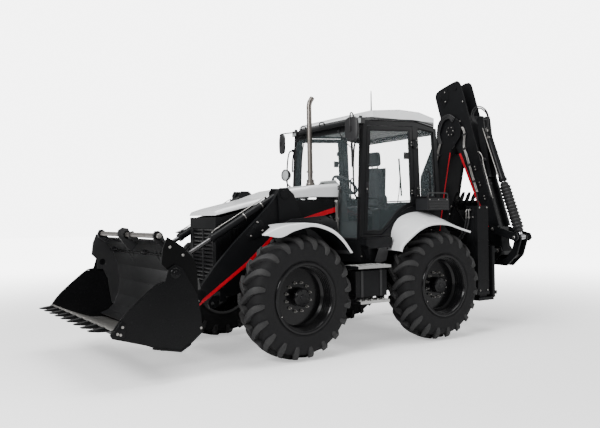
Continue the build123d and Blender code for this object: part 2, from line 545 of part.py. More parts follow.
with BuildPart() as bucket_back:
    # x, z of the mouldboard's front face, top to bottom
    BACK = [(1612, 1392), (1520, 1345), (1440, 1230), (1372, 1050), (1345, 860), (1368, 660), (1430, 530), (1500, 462),
            (1600, 430)]
    plate(strip(BACK, -18), -BUCKET_HALF + 26, BUCKET_HALF - 26)
    # rear wings of the side
    for s in (-1, 1):
        plate([(1645, 1440), (1560, 1392), (1480, 1340), (1428, 1285), (1380, 1235), (1335, 1150), (1322, 1050), (1318, 860),
               (1344, 660), (1410, 525), (1450, 540), (1470, 660), (1500, 860), (1560, 985), (1642, 993), (1641, 1111),
               (1709, 1182), (1690, 1330)],
              *sorted((s * (BUCKET_HALF - 40), s * (BUCKET_HALF - 24))))
        # outer lugs of the fork shaft
        plate([(1560, 1370), (1600, 1470), (1640, 1500), (1680, 1496), (1702, 1450), (1690, 1400), (1600, 1340)],
              *sorted((s * 905, s * 930)))
        # hinge lugs on the arms and eyes of the tilt rods
        plate([(1352, 1050), (1330, 860), (1352, 640), (1240, 600), (1130, 610), (1090, 670), (1130, 750), (1230, 800)],
              *sorted((s * (ARM_OUT + 10), s * (ARM_OUT + 34))))
        plate([(1352, 1050), (1330, 860), (1352, 640), (1240, 600), (1130, 610), (1090, 670), (1130, 750), (1230, 800)],
              *sorted((s * (ARM_IN - 34), s * (ARM_IN - 10))))
        for yc in (s * (CYL_Y - 52), s * (CYL_Y + 52)):
            plate([(1500, 1325), (1360, 1035), (1330, 900), (1180, 1120), (1085, 1160), (1080, 1245), (1130, 1265),
                   (1300, 1290)], yc - 9, yc + 9)
        ybar(BP[0], BP[1], s * (ARM_IN - 36), s * (ARM_IN - 8), 32.3, Mode.SUBTRACT)
        ybar(BP[0], BP[1], s * (ARM_OUT + 8), s * (ARM_OUT + 36), 32.3, Mode.SUBTRACT)
    # middle bracket of the shaft and a small lug
    plate([(1520, 1345), (1600, 1260), (1640, 1290), (1760, 1440), (1750, 1500), (1700, 1530), (1640, 1520), (1560, 1400)],
          -8, 18)
    plate([(1560, 1370), (1600, 1450), (1640, 1492), (1685, 1480), (1690, 1410), (1620, 1390)], 170, 186)
    # stiffener beam along the back
    plate([(1365, 1010), (1332, 880), (1270, 900), (1290, 1000)], -BUCKET_HALF + 60, BUCKET_HALF - 60)
    for s in (-1, 1):
        ybar(1650, 1448, s * 904, s * 931, 27.5, Mode.SUBTRACT)
    ybar(1650, 1448, -9, 19, 27.5, Mode.SUBTRACT)
    ybar(1650, 1448, 169, 187, 27.5, Mode.SUBTRACT)
    # bore for the jaw's pivots
    for s in (-1, 1):
        ybar(CLAM[0], CLAM[1], s * (BUCKET_HALF - 42), s * (BUCKET_HALF - 22), 40.3, Mode.SUBTRACT)
save(bucket_back, "bucket_back")

with BuildPart() as fork_shaft:
    ybar(1650, 1448, -960, 960, 27.4)
save(fork_shaft, "fork_shaft")

with BuildPart() as bucket_jaw:
    # x, z of the jaw's side, floor inside
    JAW = [(2235, 528), (2097, 705), (1795, 959), (1680, 1000), (1640, 1130), (1570, 1165), (1500, 1130), (1400, 960),
           (1335, 850), (1296, 640), (1290, 462), (1400, 372), (1520, 308), (1730, 330), (1850, 388), (2215, 496)]
    for s in (-1, 1):
        plate(JAW, *sorted((s * (BUCKET_HALF - 18), s * BUCKET_HALF)))
        ybar(CLAM[0], CLAM[1], s * (BUCKET_HALF - 40), s * (BUCKET_HALF - 10), 40)
        ybar(CLAM[0], CLAM[1], s * (BUCKET_HALF - 6), s * (BUCKET_HALF + 6), 48)
    FLOOR = [(2150, 534), (2044, 486), (1860, 410), (1730, 362), (1530, 346), (1430, 384), (1385, 424)]
    plate(strip(FLOOR, 22), -BUCKET_HALF + 17, BUCKET_HALF - 17)
    # cutting lip
    plate([(2222, 572), (2200, 572), (2040, 498), (2052, 462), (2222, 538)], -BUCKET_HALF + 10, BUCKET_HALF - 10)
    # teeth: flat pointed shanks under the lip
    for i in range(9):
        y = -1040 + i * 250
        plate([(2100, 486), (2222, 537), (2290, 540), (2378, 552), (2379, 560), (2290, 572), (2222, 580), (2130, 545),
               (2080, 518)], y - 34, y + 34)
save(bucket_jaw, "bucket_jaw")

# ---------------------------------------------------------------- backhoe
with BuildPart() as carriage:
    block(-3446, -3388, YK - 300, YK + 300, 420, 1230)
    # hooks over the slide rails
    block(-3390, -3320, YK - 280, YK + 280, 1196, 1226)
    block(-3390, -3320, YK - 280, YK + 280, 424, 464)
    # arms to the swing axis: z0, z1
    for z0, z1 in [(500, 590), (900, 985)]:
        block(XB, -3440, YK - 85, YK + 85, z0, z1)
        bar(W(XB, YK, z0), W(XB, YK, z1), 85)
        bar(W(XB, YK, z0 - 1), W(XB, YK, z1 + 1), 45, Mode.SUBTRACT)
save(carriage, "carriage")

with BuildPart() as kingpost:
    bar(W(XB, YK, 470), W(XB, YK, 1000), 44.9)
    bar(W(XB, YK, 596), W(XB, YK, 894), 82)
    bar(W(XB, YK, 464), W(XB, YK, 494), 72)
    # boom foot lugs
    cplate([(YK, 600), (YK, 890), (YK + 60, 890), (BF[0] + 60, 830), (BF[0] + 100, 740), (BF[0] + 60, 650), (BF[0] - 60, 610)],
           XB - 70, XB + 70)
    # head over the upper arm, with two ears for the boom cylinder
    bar(W(XB, YK, 992), W(XB, YK, 1034), 80)
    for x0, x1 in [(XB - 86, XB - 62), (XB + 62, XB + 86)]:
        cplate([(YK + 70, 1000), (YK + 70, 1034), (BB[0] + 60, 1190), (BB[0] + 20, 1212), (BB[0] - 40, 1200),
                (BB[0] - 60, 1140), (BB[0] - 50, 1080), (YK - 90, 1000)], x0, x1)
    block(XB - 70, XB + 70, YK - 80, YK + 70, 1000, 1030)
    xbar(BF[0], BF[1], XB - 72, XB + 72, 42.3, Mode.SUBTRACT)
    xbar(BB[0], BB[1], XB - 63, XB + 63, 25)
save(kingpost, "kingpost")

BOOM = [(-530, 700), (-470, 630), (-395, 628), (-368, 690), (-362, 760), (-322, 1150), (-172, 1950), (-20, 2680),
        (150, 2850), (172, 2980), (120, 3110), (0, 3168), (-130, 3168), (-240, 3090), (-330, 2900), (-400, 2800),
        (-700, 2290), (-712, 2180), (-705, 1960), (-640, 1640), (-560, 1300), (-540, 800)]
with BuildPart() as boom:
    for s in (-1, 1):
        x0, x1 = sorted((XB + s * (BOOM_HALF - 22), XB + s * BOOM_HALF))
        cplate(BOOM, x0, x1)
    # web along the outer edge
    cplate(strip([(-330, 1150), (-184, 1950), (-50, 2600)], 20), XB - BOOM_HALF + 2, XB + BOOM_HALF - 2)
    # foot and nose pins, base pin of the dipper cylinder
    xbar(BF[0], BF[1], XB - BOOM_HALF - 12, XB + BOOM_HALF + 12, 42)
    xbar(DP[0], DP[1], XB - BOOM_HALF - 14, XB + BOOM_HALF + 14, 42)
    xbar(DE[0], DE[1], XB - BOOM_HALF - 2, XB + BOOM_HALF + 2, 28)
    # bosses of the boom cylinder's rod eye
    for s in (-1, 1):
        xbar(BR[0], BR[1], *sorted((XB + s * (BOOM_HALF - 1), XB + s * (BOOM_HALF + 16))), 52)
        xbar(BR[0], BR[1], *sorted((XB + s * 62, XB + s * (BOOM_HALF - 20))), 52)
save(boom, "boom")


def rear_barrel(p0, p1, length, width, r_out, r_end, pin_r, hollow_r):
    """Barrel in the backhoe's plane from its eye at p0 towards p1 (y, z)."""
    a, b, c = along(p0, p1, 55), along(p0, p1, length), along(p0, p1, length - 40)
    m = along(p0, p1, 36)
    bar(W(XB, *m), W(XB, *b), r_out - 5)
    bar(W(XB, *a), W(XB, *b), r_out)
    bar(W(XB, *c), W(XB, *b), r_out + 6)
    xbar(p0[0], p0[1], XB - width / 2, XB + width / 2, r_end)
    d, e = along(p0, p1, 110), along(p0, p1, length + 50)
    bar(W(XB, *d), W(XB, *e), hollow_r, Mode.SUBTRACT)
    if pin_r:
        xbar(p0[0], p0[1], XB - width, XB + width, pin_r, Mode.SUBTRACT)


def rear_rod(p0, p1, length, radius, width, r_eye):
    a = along(p1, p0, length)
    bar(W(XB, *a), W(XB, *p1), radius)
    xbar(p1[0], p1[1], XB - width / 2, XB + width / 2, r_eye)


with BuildPart() as boom_cylinder_barrel:
    rear_barrel(BB, BR, 1045, 110, 58, 52, 25.4, 36)
save(boom_cylinder_barrel, "boom_cylinder_barrel")
with BuildPart() as boom_cylinder_rod:
    rear_rod(BB, BR, 960, 35, 100, 46)
save(boom_cylinder_rod, "boom_cylinder_rod")

with BuildPart() as dipper_cylinder_barrel:
    rear_barrel(DE, DA, 1300, 110, 54, 52, 28.3, 33)
save(dipper_cylinder_barrel, "dipper_cylinder_barrel")
with BuildPart() as dipper_cylinder_rod:
    rear_rod(DE, DA, 1200, 32, 90, 50)
save(dipper_cylinder_rod, "dipper_cylinder_rod")

# outer dipper: y, z of its side
DIPPER = [(-386, 3520), (-374, 3612), (-262, 3668), (30, 3742), (108, 3722), (150, 3650), (246, 3337), (536, 2400),
          (800, 1585), (838, 1470), (620, 1430), (470, 1750), (60, 2661), (-30, 2800), (-130, 2860), (-180, 2960),
          (-210, 3080), (-290, 3200)]
AX = (0.302, -0.953)    # direction in which the dipper extends (y, z)
IN_T = (400.0, 2480.0)  # top of the inner dipper's centre line
with BuildPart() as dipper:
    for s in (-1, 1):
        x0, x1 = sorted((XB + s * (DIP_HALF - 16), XB + s * DIP_HALF))
        cplate(DIPPER, x0, x1)
    # inner web, set inside the red edge
    cplate(strip([(205, 2600), (560, 1480)], 16), XB - DIP_HALF + 2, XB + DIP_HALF - 2)
    # lips along the outer edge
    for s in (-1, 1):
        x0, x1 = sorted((XB + s * (DIP_HALF - 40), XB + s * (DIP_HALF - 2)))
        cplate(strip([(440, 2710), (836, 1476)], -14), x0, x1)
    # closing plates of the head
    cplate(strip([(300, 3168), (452, 2672)], -14), XB - DIP_HALF + 2, XB + DIP_HALF - 2)
    for s in (-1, 1):
        x0, x1 = sorted((XB + s * (DIP_HALF - 17), XB + s * (DIP_HALF + 1)))
        xbar(DP[0], DP[1], XB + s * (DIP_HALF - 40), XB + s * (DIP_HALF + 10), 62)
        xbar(DP[0], DP[1], XB + s * (DIP_HALF - 42), XB + s * (DIP_HALF + 12), 42.3, Mode.SUBTRACT)
        xbar(DA[0], DA[1], XB + s * 50, XB + s * (DIP_HALF + 12), 44)
        xbar(30, 3638, XB + s * (DIP_HALF - 4), XB + s * (DIP_HALF + 12), 40)
save(dipper, "dipper")


def off(p, s, n=0.0):
    """Point s along the dipper's axis from p and n to its outer side (y, z)."""
    return (p[0] + AX[0] * s - AX[1] * n, p[1] + AX[1] * s + AX[0] * n)


with BuildPart() as dipper_extension:
    # inner bar, ends in the nose that carries the bucket
    T0 = off(P3, -1450)
    cplate([off(T0, 0, -86), off(T0, 0, 86), off(P3, -330, 86), off(P3, -330, 130), off(P3, -250, 130),
            off(P3, -120, 86), off(P3, 30, 70), off(P3, 70, 0), off(P3, 30, -70), off(P3, -160, -96),
            off(P3, -380, -86)], XB - 92, XB + 92)
    # bracket for the bucket cylinder's base, through the slot between the lips
    G = GB
    cplate([off(T0, 20, 80), off(T0, 320, 80), off(T0, 330, 140), off(T0, 20, 140)], XB - 70, XB + 70)
    for x0, x1 in [(XB - 84, XB - 60), (XB + 60, XB + 84)]:
        cplate([off(T0, 20, 120), off(T0, 330, 120), off(T0, 320, 190), (G[0] + 66, G[1] - 20), (G[0] + 50, G[1] + 52),
                (G[0] - 20, G[1] + 66), (G[0] - 60, G[1] + 20), off(T0, -240, 170), off(T0, -40, 150)], x0, x1)
    xbar(G[0], G[1], XB - 84, XB + 84, 25)
    for q, r in [(P1, 32.3), (P3, 35.3)]:
        xbar(q[0], q[1], XB - 94, XB + 94, r, Mode.SUBTRACT)
save(dipper_extension, "dipper_extension")

with BuildPart() as bucket_cylinder_barrel:
    rear_barrel(GB, P2, 1010, 110, 52, 50, 25.4, 31)
save(bucket_cylinder_barrel, "bucket_cylinder_barrel")
with BuildPart() as bucket_cylinder_rod:
    rear_rod(GB, P2, 980, 30, 90, 46)
save(bucket_cylinder_rod, "bucket_cylinder_rod")

with BuildPart() as tipping_lever:
    # two guide plates outside the dipper on one pin through the extension, bosses towards the rod's eye
    for x0, x1 in [(XB - 160, XB - 138), (XB + 138, XB + 160)]:
        cplate([(P1[0] - 52, P1[1] - 20), (P1[0] - 10, P1[1] + 56), (P2[0] + 40, P2[1] + 56), (P2[0] + 66, P2[1] - 10),
                (P2[0] + 20, P2[1] - 56), (P1[0] + 10, P1[1] - 60)], x0, x1)
    xbar(P1[0], P1[1], XB - 164, XB + 164, 32)
    for s in (-1, 1):
        xbar(P2[0], P2[1], *sorted((XB + s * 90, XB + s * 168)), 36)
save(tipping_lever, "tipping_lever")

with BuildPart() as tipping_link:
    # y, z of the link, bent round the dipper's nose
    LINK = [(P2[0] - 38, P2[1] + 34), (P2[0] + 30, P2[1] + 44), (P2[0] + 56, P2[1] - 20), (1096, 1040), (920, 878),
            (P4[0] + 10, P4[1] - 50), (P4[0] - 48, P4[1] - 8), (P4[0] - 14, P4[1] + 48), (880, 968), (1008, 1090)]
    for x0, x1 in [(XB - 82, XB - 58), (XB + 58, XB + 82)]:
        cplate(LINK, x0, x1)
    # cross plate and the sleeve of the bucket's pin
    cplate([(1010, 990), (1070, 1046), (1056, 1062), (996, 1006)], XB - 60, XB + 60)
    xbar(P4[0], P4[1], XB - 92, XB + 92, 46)
    xbar(P4[0], P4[1], XB - 94, XB + 94, 30.3, Mode.SUBTRACT)
save(tipping_link, "tipping_link")

BK_HALF = 300.0
with BuildPart() as digging_bucket:
    # y, z of the shell's inner face from the lip round the back to the top plate
    SHELL = [(104, 1862), (22, 1720), (0, 1480), (50, 1300), (160, 1150), (340, 1020), (540, 955)]
    cplate(strip(SHELL, -16)[:7] + [(548, 975), (348, 1038), (172, 1165), (66, 1308), (17, 1480), (38, 1716), (118, 1854)],
           XB - BK_HALF, XB + BK_HALF)
    for s in (-1, 1):
        x0, x1 = sorted((XB + s * (BK_HALF - 16), XB + s * BK_HALF))
        cplate([(112, 1856), (34, 1716), (13, 1480), (62, 1306), (170, 1161), (346, 1034), (550, 968), (640, 1010), (590, 1180),
                (460, 1380), (270, 1610)], x0, x1)
    # top plate between the ears and the mouth
    cplate([(540, 955), (660, 1000), (600, 1190), (580, 1182), (636, 1010), (540, 975)], XB - BK_HALF, XB + BK_HALF)
    for x0, x1 in [(XB - 124, XB - 100), (XB + 100, XB + 124)]:
        cplate([(480, 960), (600, 890), (660, 880), (720, 900), (P3[0] + 40, P3[1] - 66), (P3[0] + 76, P3[1] - 10),
                (P3[0] + 50, P3[1] + 60), (P3[0] - 30, P3[1] + 70), (620, 1190), (590, 1180), (630, 1010)], x0, x1)
    # pins of the dipper's nose and of the link
    xbar(P3[0], P3[1], XB - 126, XB + 126, 35)
    xbar(P4[0], P4[1], XB - 126, XB + 126, 30)
    # teeth on the lip
    for i in range(5):
        x = XB - 260 + i * 130
        cplate([(56, 1780), (88, 1776), (150, 1880), (172, 1930), (184, 1988), (176, 1992), (134, 1940), (104, 1880)],
               x - 24, x + 24)
save(digging_bucket, "digging_bucket")
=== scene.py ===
import bpy, bmesh, json, math, random
from mathutils import Vector, Matrix, Euler


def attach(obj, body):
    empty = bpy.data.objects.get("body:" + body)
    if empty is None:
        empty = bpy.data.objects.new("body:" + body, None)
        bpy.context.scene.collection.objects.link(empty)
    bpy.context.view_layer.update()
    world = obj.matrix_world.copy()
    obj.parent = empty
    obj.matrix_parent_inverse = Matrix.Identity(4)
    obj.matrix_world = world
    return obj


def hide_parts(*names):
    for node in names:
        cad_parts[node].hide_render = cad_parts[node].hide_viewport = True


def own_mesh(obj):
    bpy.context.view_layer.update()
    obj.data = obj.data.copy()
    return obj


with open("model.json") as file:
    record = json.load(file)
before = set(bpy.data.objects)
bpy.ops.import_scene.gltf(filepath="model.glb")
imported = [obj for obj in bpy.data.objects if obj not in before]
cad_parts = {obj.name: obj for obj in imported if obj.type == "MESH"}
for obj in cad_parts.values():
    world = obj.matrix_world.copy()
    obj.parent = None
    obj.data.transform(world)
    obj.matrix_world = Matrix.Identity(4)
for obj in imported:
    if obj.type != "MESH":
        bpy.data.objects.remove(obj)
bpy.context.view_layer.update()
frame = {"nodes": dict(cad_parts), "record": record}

random.seed(11)
N = frame["nodes"]
FX = 0.885            # front axle, metres in the model's frame
XB, YK = -3.85, -0.68  # plane of the folded digging arm, its swing axis


# ------------------------------------------------------------------ camera
cam = bpy.data.objects.new("camera", bpy.data.cameras.new("camera"))
bpy.context.scene.collection.objects.link(cam)
yaw, pitch, roll = math.radians(-122.64), math.radians(0.306), math.radians(-0.676)
d = Vector((math.cos(yaw) * math.cos(pitch), math.sin(yaw) * math.cos(pitch), math.sin(pitch)))
r = d.cross(Vector((0, 0, 1))).normalized()
u = r.cross(d)
r2 = math.cos(roll) * r + math.sin(roll) * u
u2 = -math.sin(roll) * r + math.cos(roll) * u
cam.matrix_world = Matrix(((r2.x, u2.x, -d.x, 4.190 + FX), (r2.y, u2.y, -d.y, 7.187), (r2.z, u2.z, -d.z, 1.608),
                           (0, 0, 0, 1)))
cam.data.sensor_width = 36
cam.data.lens = 652.85 / 600 * 36
cam.data.shift_x = (300 - 279.18) / 600
cam.data.shift_y = (215.22 - 214) / 600
cam.data.clip_end = 200
bpy.context.scene.camera = cam

# ------------------------------------------------------------------ floor and light
world = bpy.data.worlds.new("studio")
world.use_nodes = True
wt = world.node_tree
wt.nodes["Background"].inputs[0].default_value = (1, 1, 1, 1)
wt.nodes["Background"].inputs[1].default_value = 0.42
white = wt.nodes.new("ShaderNodeBackground")
white.inputs[0].default_value = (1, 1, 1, 1)
white.inputs[1].default_value = 6.0
ray = wt.nodes.new("ShaderNodeLightPath")
pick = wt.nodes.new("ShaderNodeMixShader")
wt.links.new(ray.outputs["Is Camera Ray"], pick.inputs[0])
wt.links.new(wt.nodes["Background"].outputs[0], pick.inputs[1])
wt.links.new(white.outputs[0], pick.inputs[2])
wt.links.new(pick.outputs[0], wt.nodes["World Output"].inputs["Surface"])
bpy.context.scene.world = world


def area(name, loc, target, size, power, size_y=None):
    L = bpy.data.lights.new(name, "AREA")
    L.shape = "RECTANGLE"
    L.size, L.size_y, L.energy = size, size_y or size, power
    o = bpy.data.objects.new(name, L)
    bpy.context.scene.collection.objects.link(o)
    o.location = loc
    o.rotation_euler = (Vector(target) - Vector(loc)).to_track_quat("-Z", "Y").to_euler()
    return o


area("key", (8.5, 3.6, 6.2), (0.6, 0, 1.0), 5, 1050, 3)
area("fill", (-7.5, 6.0, 5.0), (-1.0, 0, 1.4), 4, 170, 3)
area("top", (-0.5, 0.5, 8.5), (-0.5, 0, 0), 7, 700, 5)


# ------------------------------------------------------------------ materials
def material(name):
    m = bpy.data.materials.new(name)
    m.use_nodes = True
    nt = m.node_tree
    return m, nt, nt.nodes["Principled BSDF"]


def link(nt, a, b):
    nt.links.new(a, b)


def coords(nt):
    t = nt.nodes.new("ShaderNodeTexCoord")
    return t.outputs["Object"]


def noise(nt, vec, scale, detail=4.0, rough=0.55, dist=0.0, stretch=None):
    if stretch:
        mp = nt.nodes.new("ShaderNodeMapping")
        mp.inputs["Scale"].default_value = stretch
        link(nt, vec, mp.inputs["Vector"])
        vec = mp.outputs["Vector"]
    n = nt.nodes.new("ShaderNodeTexNoise")
    n.inputs["Scale"].default_value = scale
    n.inputs["Detail"].default_value = detail
    n.inputs["Roughness"].default_value = rough
    n.inputs["Distortion"].default_value = dist
    link(nt, vec, n.inputs["Vector"])
    return n.outputs["Fac"]


def ramp(nt, fac, stops):
    c = nt.nodes.new("ShaderNodeValToRGB")
    el = c.color_ramp.elements
    while len(el) < len(stops):
        el.new(0.5)
    for e, (p, col) in zip(el, stops):
        e.position = p
        e.color = (*col, 1) if isinstance(col, tuple) else (col, col, col, 1)
    link(nt, fac, c.inputs["Fac"])
    return c.outputs["Color"]


def mix(nt, fac, a, b, kind="MIX"):
    n = nt.nodes.new("ShaderNodeMix")
    n.data_type = "RGBA"
    n.blend_type = kind
    for v, s in ((fac, 0), (a, 6), (b, 7)):
        if isinstance(v, (int, float)):
            n.inputs[s].default_value = v if s == 0 else (v, v, v, 1)
        elif isinstance(v, tuple):
            n.inputs[s].default_value = (*v, 1)
        else:
            link(nt, v, n.inputs[s])
    return n.outputs[2]


def maths(nt, op, a, b=None, c=None, clamp=False):
    n = nt.nodes.new("ShaderNodeMath")
    n.operation = op
    n.use_clamp = clamp
    for i, v in enumerate((a, b, c)):
        if v is None:
            continue
        if isinstance(v, (int, float)):
            n.inputs[i].default_value = v
        else:
            link(nt, v, n.inputs[i])
    return n.outputs[0]


def bump(nt, bsdf, height, strength, distance, normal=None):
    n = nt.nodes.new("ShaderNodeBump")
    n.inputs["Strength"].default_value = strength
    n.inputs["Distance"].default_value = distance
    link(nt, height, n.inputs["Height"])
    if normal is not None:
        link(nt, normal, n.inputs["Normal"])
    link(nt, n.outputs["Normal"], bsdf.inputs["Normal"])
    return n


def edges(nt, radius=0.006):
    """Rounded normals at sharp edges, and a mask that is high along them."""
    b = nt.nodes.new("ShaderNodeBevel")
    b.samples = 4
    b.inputs["Radius"].default_value = radius
    g = nt.nodes.new("ShaderNodeNewGeometry")
    dot = nt.nodes.new("ShaderNodeVectorMath")
    dot.operation = "DOT_PRODUCT"
    link(nt, b.outputs["Normal"], dot.inputs[0])
    link(nt, g.outputs["Normal"], dot.inputs[1])
    mask = maths(nt, "SUBTRACT", 1.0, dot.outputs["Value"], clamp=True)
    return b.outputs["Normal"], mask


def paint(name, colour, rough=0.22, coat=0.5, vary=0.12, worn=(0.28, 0.27, 0.26), wear=0.5, dust=0.16,
          dust_colour=(0.33, 0.30, 0.26), peel=0.12, metal=0.0, spec=0.5, band=None):
    """Sprayed enamel: slow colour drift, fine peel, dust that thins with height, wear along edges."""
    m, nt, p = material(name)
    v = coords(nt)
    drift = noise(nt, v, 1.7, 5, 0.6)
    fine = noise(nt, v, 38, 6, 0.65)
    dark = tuple(c * (1 - vary) for c in colour)
    lite = tuple(min(1, c * (1 + vary) + 0.004) for c in colour)
    base = mix(nt, drift, dark, lite)
    sep = nt.nodes.new("ShaderNodeSeparateXYZ")
    link(nt, v, sep.inputs[0])
    low = maths(nt, "MULTIPLY_ADD", sep.outputs["Z"], -0.55, 1.05, clamp=True)
    blot = ramp(nt, noise(nt, v, 5.5, 8, 0.7), [(0.42, 0.0), (0.72, 1.0)])
    grains = ramp(nt, fine, [(0.35, 0.25), (0.7, 1.0)])
    dmask = maths(nt, "MULTIPLY", maths(nt, "MULTIPLY", low, blot), maths(nt, "MULTIPLY", grains, dust), clamp=True)
    base = mix(nt, dmask, base, dust_colour)
    if band:
        # second colour below a height
        under = maths(nt, "LESS_THAN", sep.outputs["Z"], band[0])
        base = mix(nt, under, base, band[1])
    normal, mask = edges(nt, 0.005)
    chips = ramp(nt, noise(nt, v, 22, 8, 0.75), [(0.55, 0.0), (0.66, 1.0)])
    wmask = maths(nt, "MULTIPLY", maths(nt, "MULTIPLY", mask, 3.0 * wear, clamp=True), chips, clamp=True)
    base = mix(nt, wmask, base, worn)
    link(nt, base, p.inputs["Base Color"])
    rg = maths(nt, "MULTIPLY_ADD", noise(nt, v, 9, 6, 0.7), 0.16, rough - 0.08)
    rg = maths(nt, "ADD", rg, maths(nt, "MULTIPLY", dmask, 0.6), clamp=True)
    link(nt, rg, p.inputs["Roughness"])
    p.inputs["Metallic"].default_value = metal
    p.inputs["Coat Weight"].default_value = coat
    p.inputs["Coat Roughness"].default_value = 0.12
    p.inputs["Specular IOR Level"].default_value = spec
    bump(nt, p, noise(nt, v, 260, 3, 0.5), peel, 0.0006, normal)
    return m


def steel(name, colour=(0.55, 0.54, 0.52), rough=0.3, scale=(1, 1, 1), grime=0.35, dark=(0.12, 0.1, 0.085)):
    m, nt, p = material(name)
    v = coords(nt)
    streak = noise(nt, v, 60, 6, 0.7, stretch=scale)
    blot = ramp(nt, noise(nt, v, 6, 8, 0.7), [(0.4, 0.0), (0.75, 1.0)])
    base = mix(nt, streak, tuple(c * 0.8 for c in colour), tuple(min(1, c * 1.12) for c in colour))
    base = mix(nt, maths(nt, "MULTIPLY", blot, grime), base, dark)
    link(nt, base, p.inputs["Base Color"])
    link(nt, maths(nt, "MULTIPLY_ADD", streak, 0.25, rough - 0.1), p.inputs["Roughness"])
    p.inputs["Metallic"].default_value = 1.0
    normal, mask = edges(nt, 0.003)
    bump(nt, p, streak, 0.12, 0.001, normal)
    return m


def rubber(name, colour=(0.022, 0.022, 0.023), rough=0.68, grime=0.3, bump_scale=90, grime_colour=(0.05, 0.048, 0.045),
           spec=0.3):
    m, nt, p = material(name)
    v = coords(nt)
    n1 = noise(nt, v, 4, 7, 0.65)
    n2 = noise(nt, v, bump_scale, 6, 0.7)
    base = mix(nt, n1, tuple(c * 0.75 for c in colour), tuple(c * 1.5 for c in colour))
    base = mix(nt, maths(nt, "MULTIPLY", ramp(nt, noise(nt, v, 13, 8, 0.75), [(0.45, 0.0), (0.8, 1.0)]), grime), base,
               grime_colour)
    link(nt, base, p.inputs["Base Color"])
    link(nt, maths(nt, "MULTIPLY_ADD", n2, 0.2, rough - 0.1), p.inputs["Roughness"])
    p.inputs["Specular IOR Level"].default_value = spec
    bump(nt, p, n2, 0.35, 0.0015)
    return m


def plastic(name, colour, rough=0.45, grain=220, depth=0.25, vary=0.1, coat=0.0):
    m, nt, p = material(name)
    v = coords(nt)
    n1 = noise(nt, v, 3, 5, 0.6)
    n2 = noise(nt, v, grain, 4, 0.6)
    link(nt, mix(nt, n1, tuple(c * (1 - vary) for c in colour), tuple(min(1, c * (1 + vary)) for c in colour)),
         p.inputs["Base Color"])
    link(nt, maths(nt, "MULTIPLY_ADD", n2, 0.14, rough - 0.07), p.inputs["Roughness"])
    p.inputs["Coat Weight"].default_value = coat
    bump(nt, p, n2, depth, 0.0005)
    return m


def glassy(name, colour=(0.15, 0.19, 0.20), alpha=0.10, rough=0.02):
    m, nt, p = material(name)
    v = coords(nt)
    film = ramp(nt, noise(nt, v, 2.2, 6, 0.7), [(0.4, 0.0), (0.8, 1.0)])
    link(nt, mix(nt, film, colour, tuple(c * 0.9 for c in colour)), p.inputs["Base Color"])
    link(nt, maths(nt, "MULTIPLY_ADD", film, 0.05, alpha), p.inputs["Alpha"])
    link(nt, maths(nt, "MULTIPLY_ADD", film, 0.03, rough), p.inputs["Roughness"])
    p.inputs["IOR"].default_value = 1.5
    return m


def cloth(name, colour=(0.03, 0.032, 0.036)):
    m, nt, p = material(name)
    v = coords(nt)
    wv = nt.nodes.new("ShaderNodeTexWave")
    wv.inputs["Scale"].default_value = 130
    link(nt, v, wv.inputs["Vector"])
    wv2 = nt.nodes.new("ShaderNodeTexWave")
    wv2.bands_direction = "Z"
    wv2.inputs["Scale"].default_value = 130
    link(nt, v, wv2.inputs["Vector"])
    weave = maths(nt, "MULTIPLY", wv.outputs["Fac"], wv2.outputs["Fac"])
    n1 = noise(nt, v, 8, 6, 0.7)
    base = mix(nt, weave, tuple(c * 0.7 for c in colour), tuple(c * 1.5 for c in colour))
    link(nt, mix(nt, maths(nt, "MULTIPLY", n1, 0.3), base, tuple(c * 2 for c in colour)), p.inputs["Base Color"])
    p.inputs["Roughness"].default_value = 0.9
    p.inputs["Sheen Weight"].default_value = 0.35
    bump(nt, p, weave, 0.5, 0.001)
    return m


M = {}
M["white"] = paint("white_enamel", (0.80, 0.81, 0.82), rough=0.26, coat=0.5, vary=0.03, worn=(0.2, 0.19, 0.18), wear=0.25,
                   dust=0.10, dust_colour=(0.50, 0.47, 0.42))
M["black"] = paint("black_enamel", (0.0050, 0.0053, 0.0060), rough=0.34, coat=0.06, vary=0.25, worn=(0.13, 0.12, 0.115),
                   wear=0.40, dust=0.03, dust_colour=(0.05, 0.047, 0.045), spec=0.10)
M["bucket_inner_painted_light_and_shade"] = paint("bucket_inner_painted_light_and_shade", (0.017, 0.0172, 0.018), rough=0.30, coat=0.15, vary=0.3, worn=(0.20, 0.18, 0.165),
                          wear=0.3, dust=0.03, dust_colour=(0.05, 0.047, 0.045), spec=0.6)
# painted light and shade: this copy of the bucket paint is painted lighter and glossier, so the inside of the bucket
# reads lit; the side plates' outer faces are painted back down to near black, as dark as the jaw's
nt = M["bucket_inner_painted_light_and_shade"].node_tree
bs = nt.nodes["Principled BSDF"]
xyz = nt.nodes.new("ShaderNodeSeparateXYZ")
link(nt, coords(nt), xyz.inputs[0])
painted_light_mask = maths(nt, "MULTIPLY_ADD", maths(nt, "GREATER_THAN", maths(nt, "ABSOLUTE", xyz.outputs["Y"]), 1.150), -0.86, 1.0)
link(nt, mix(nt, painted_light_mask, (0.0, 0.0, 0.0), bs.inputs["Base Color"].links[0].from_socket), bs.inputs["Base Color"])
link(nt, maths(nt, "MULTIPLY", painted_light_mask, 0.6), bs.inputs["Specular IOR Level"])
link(nt, maths(nt, "MULTIPLY", painted_light_mask, 0.15), bs.inputs["Coat Weight"])
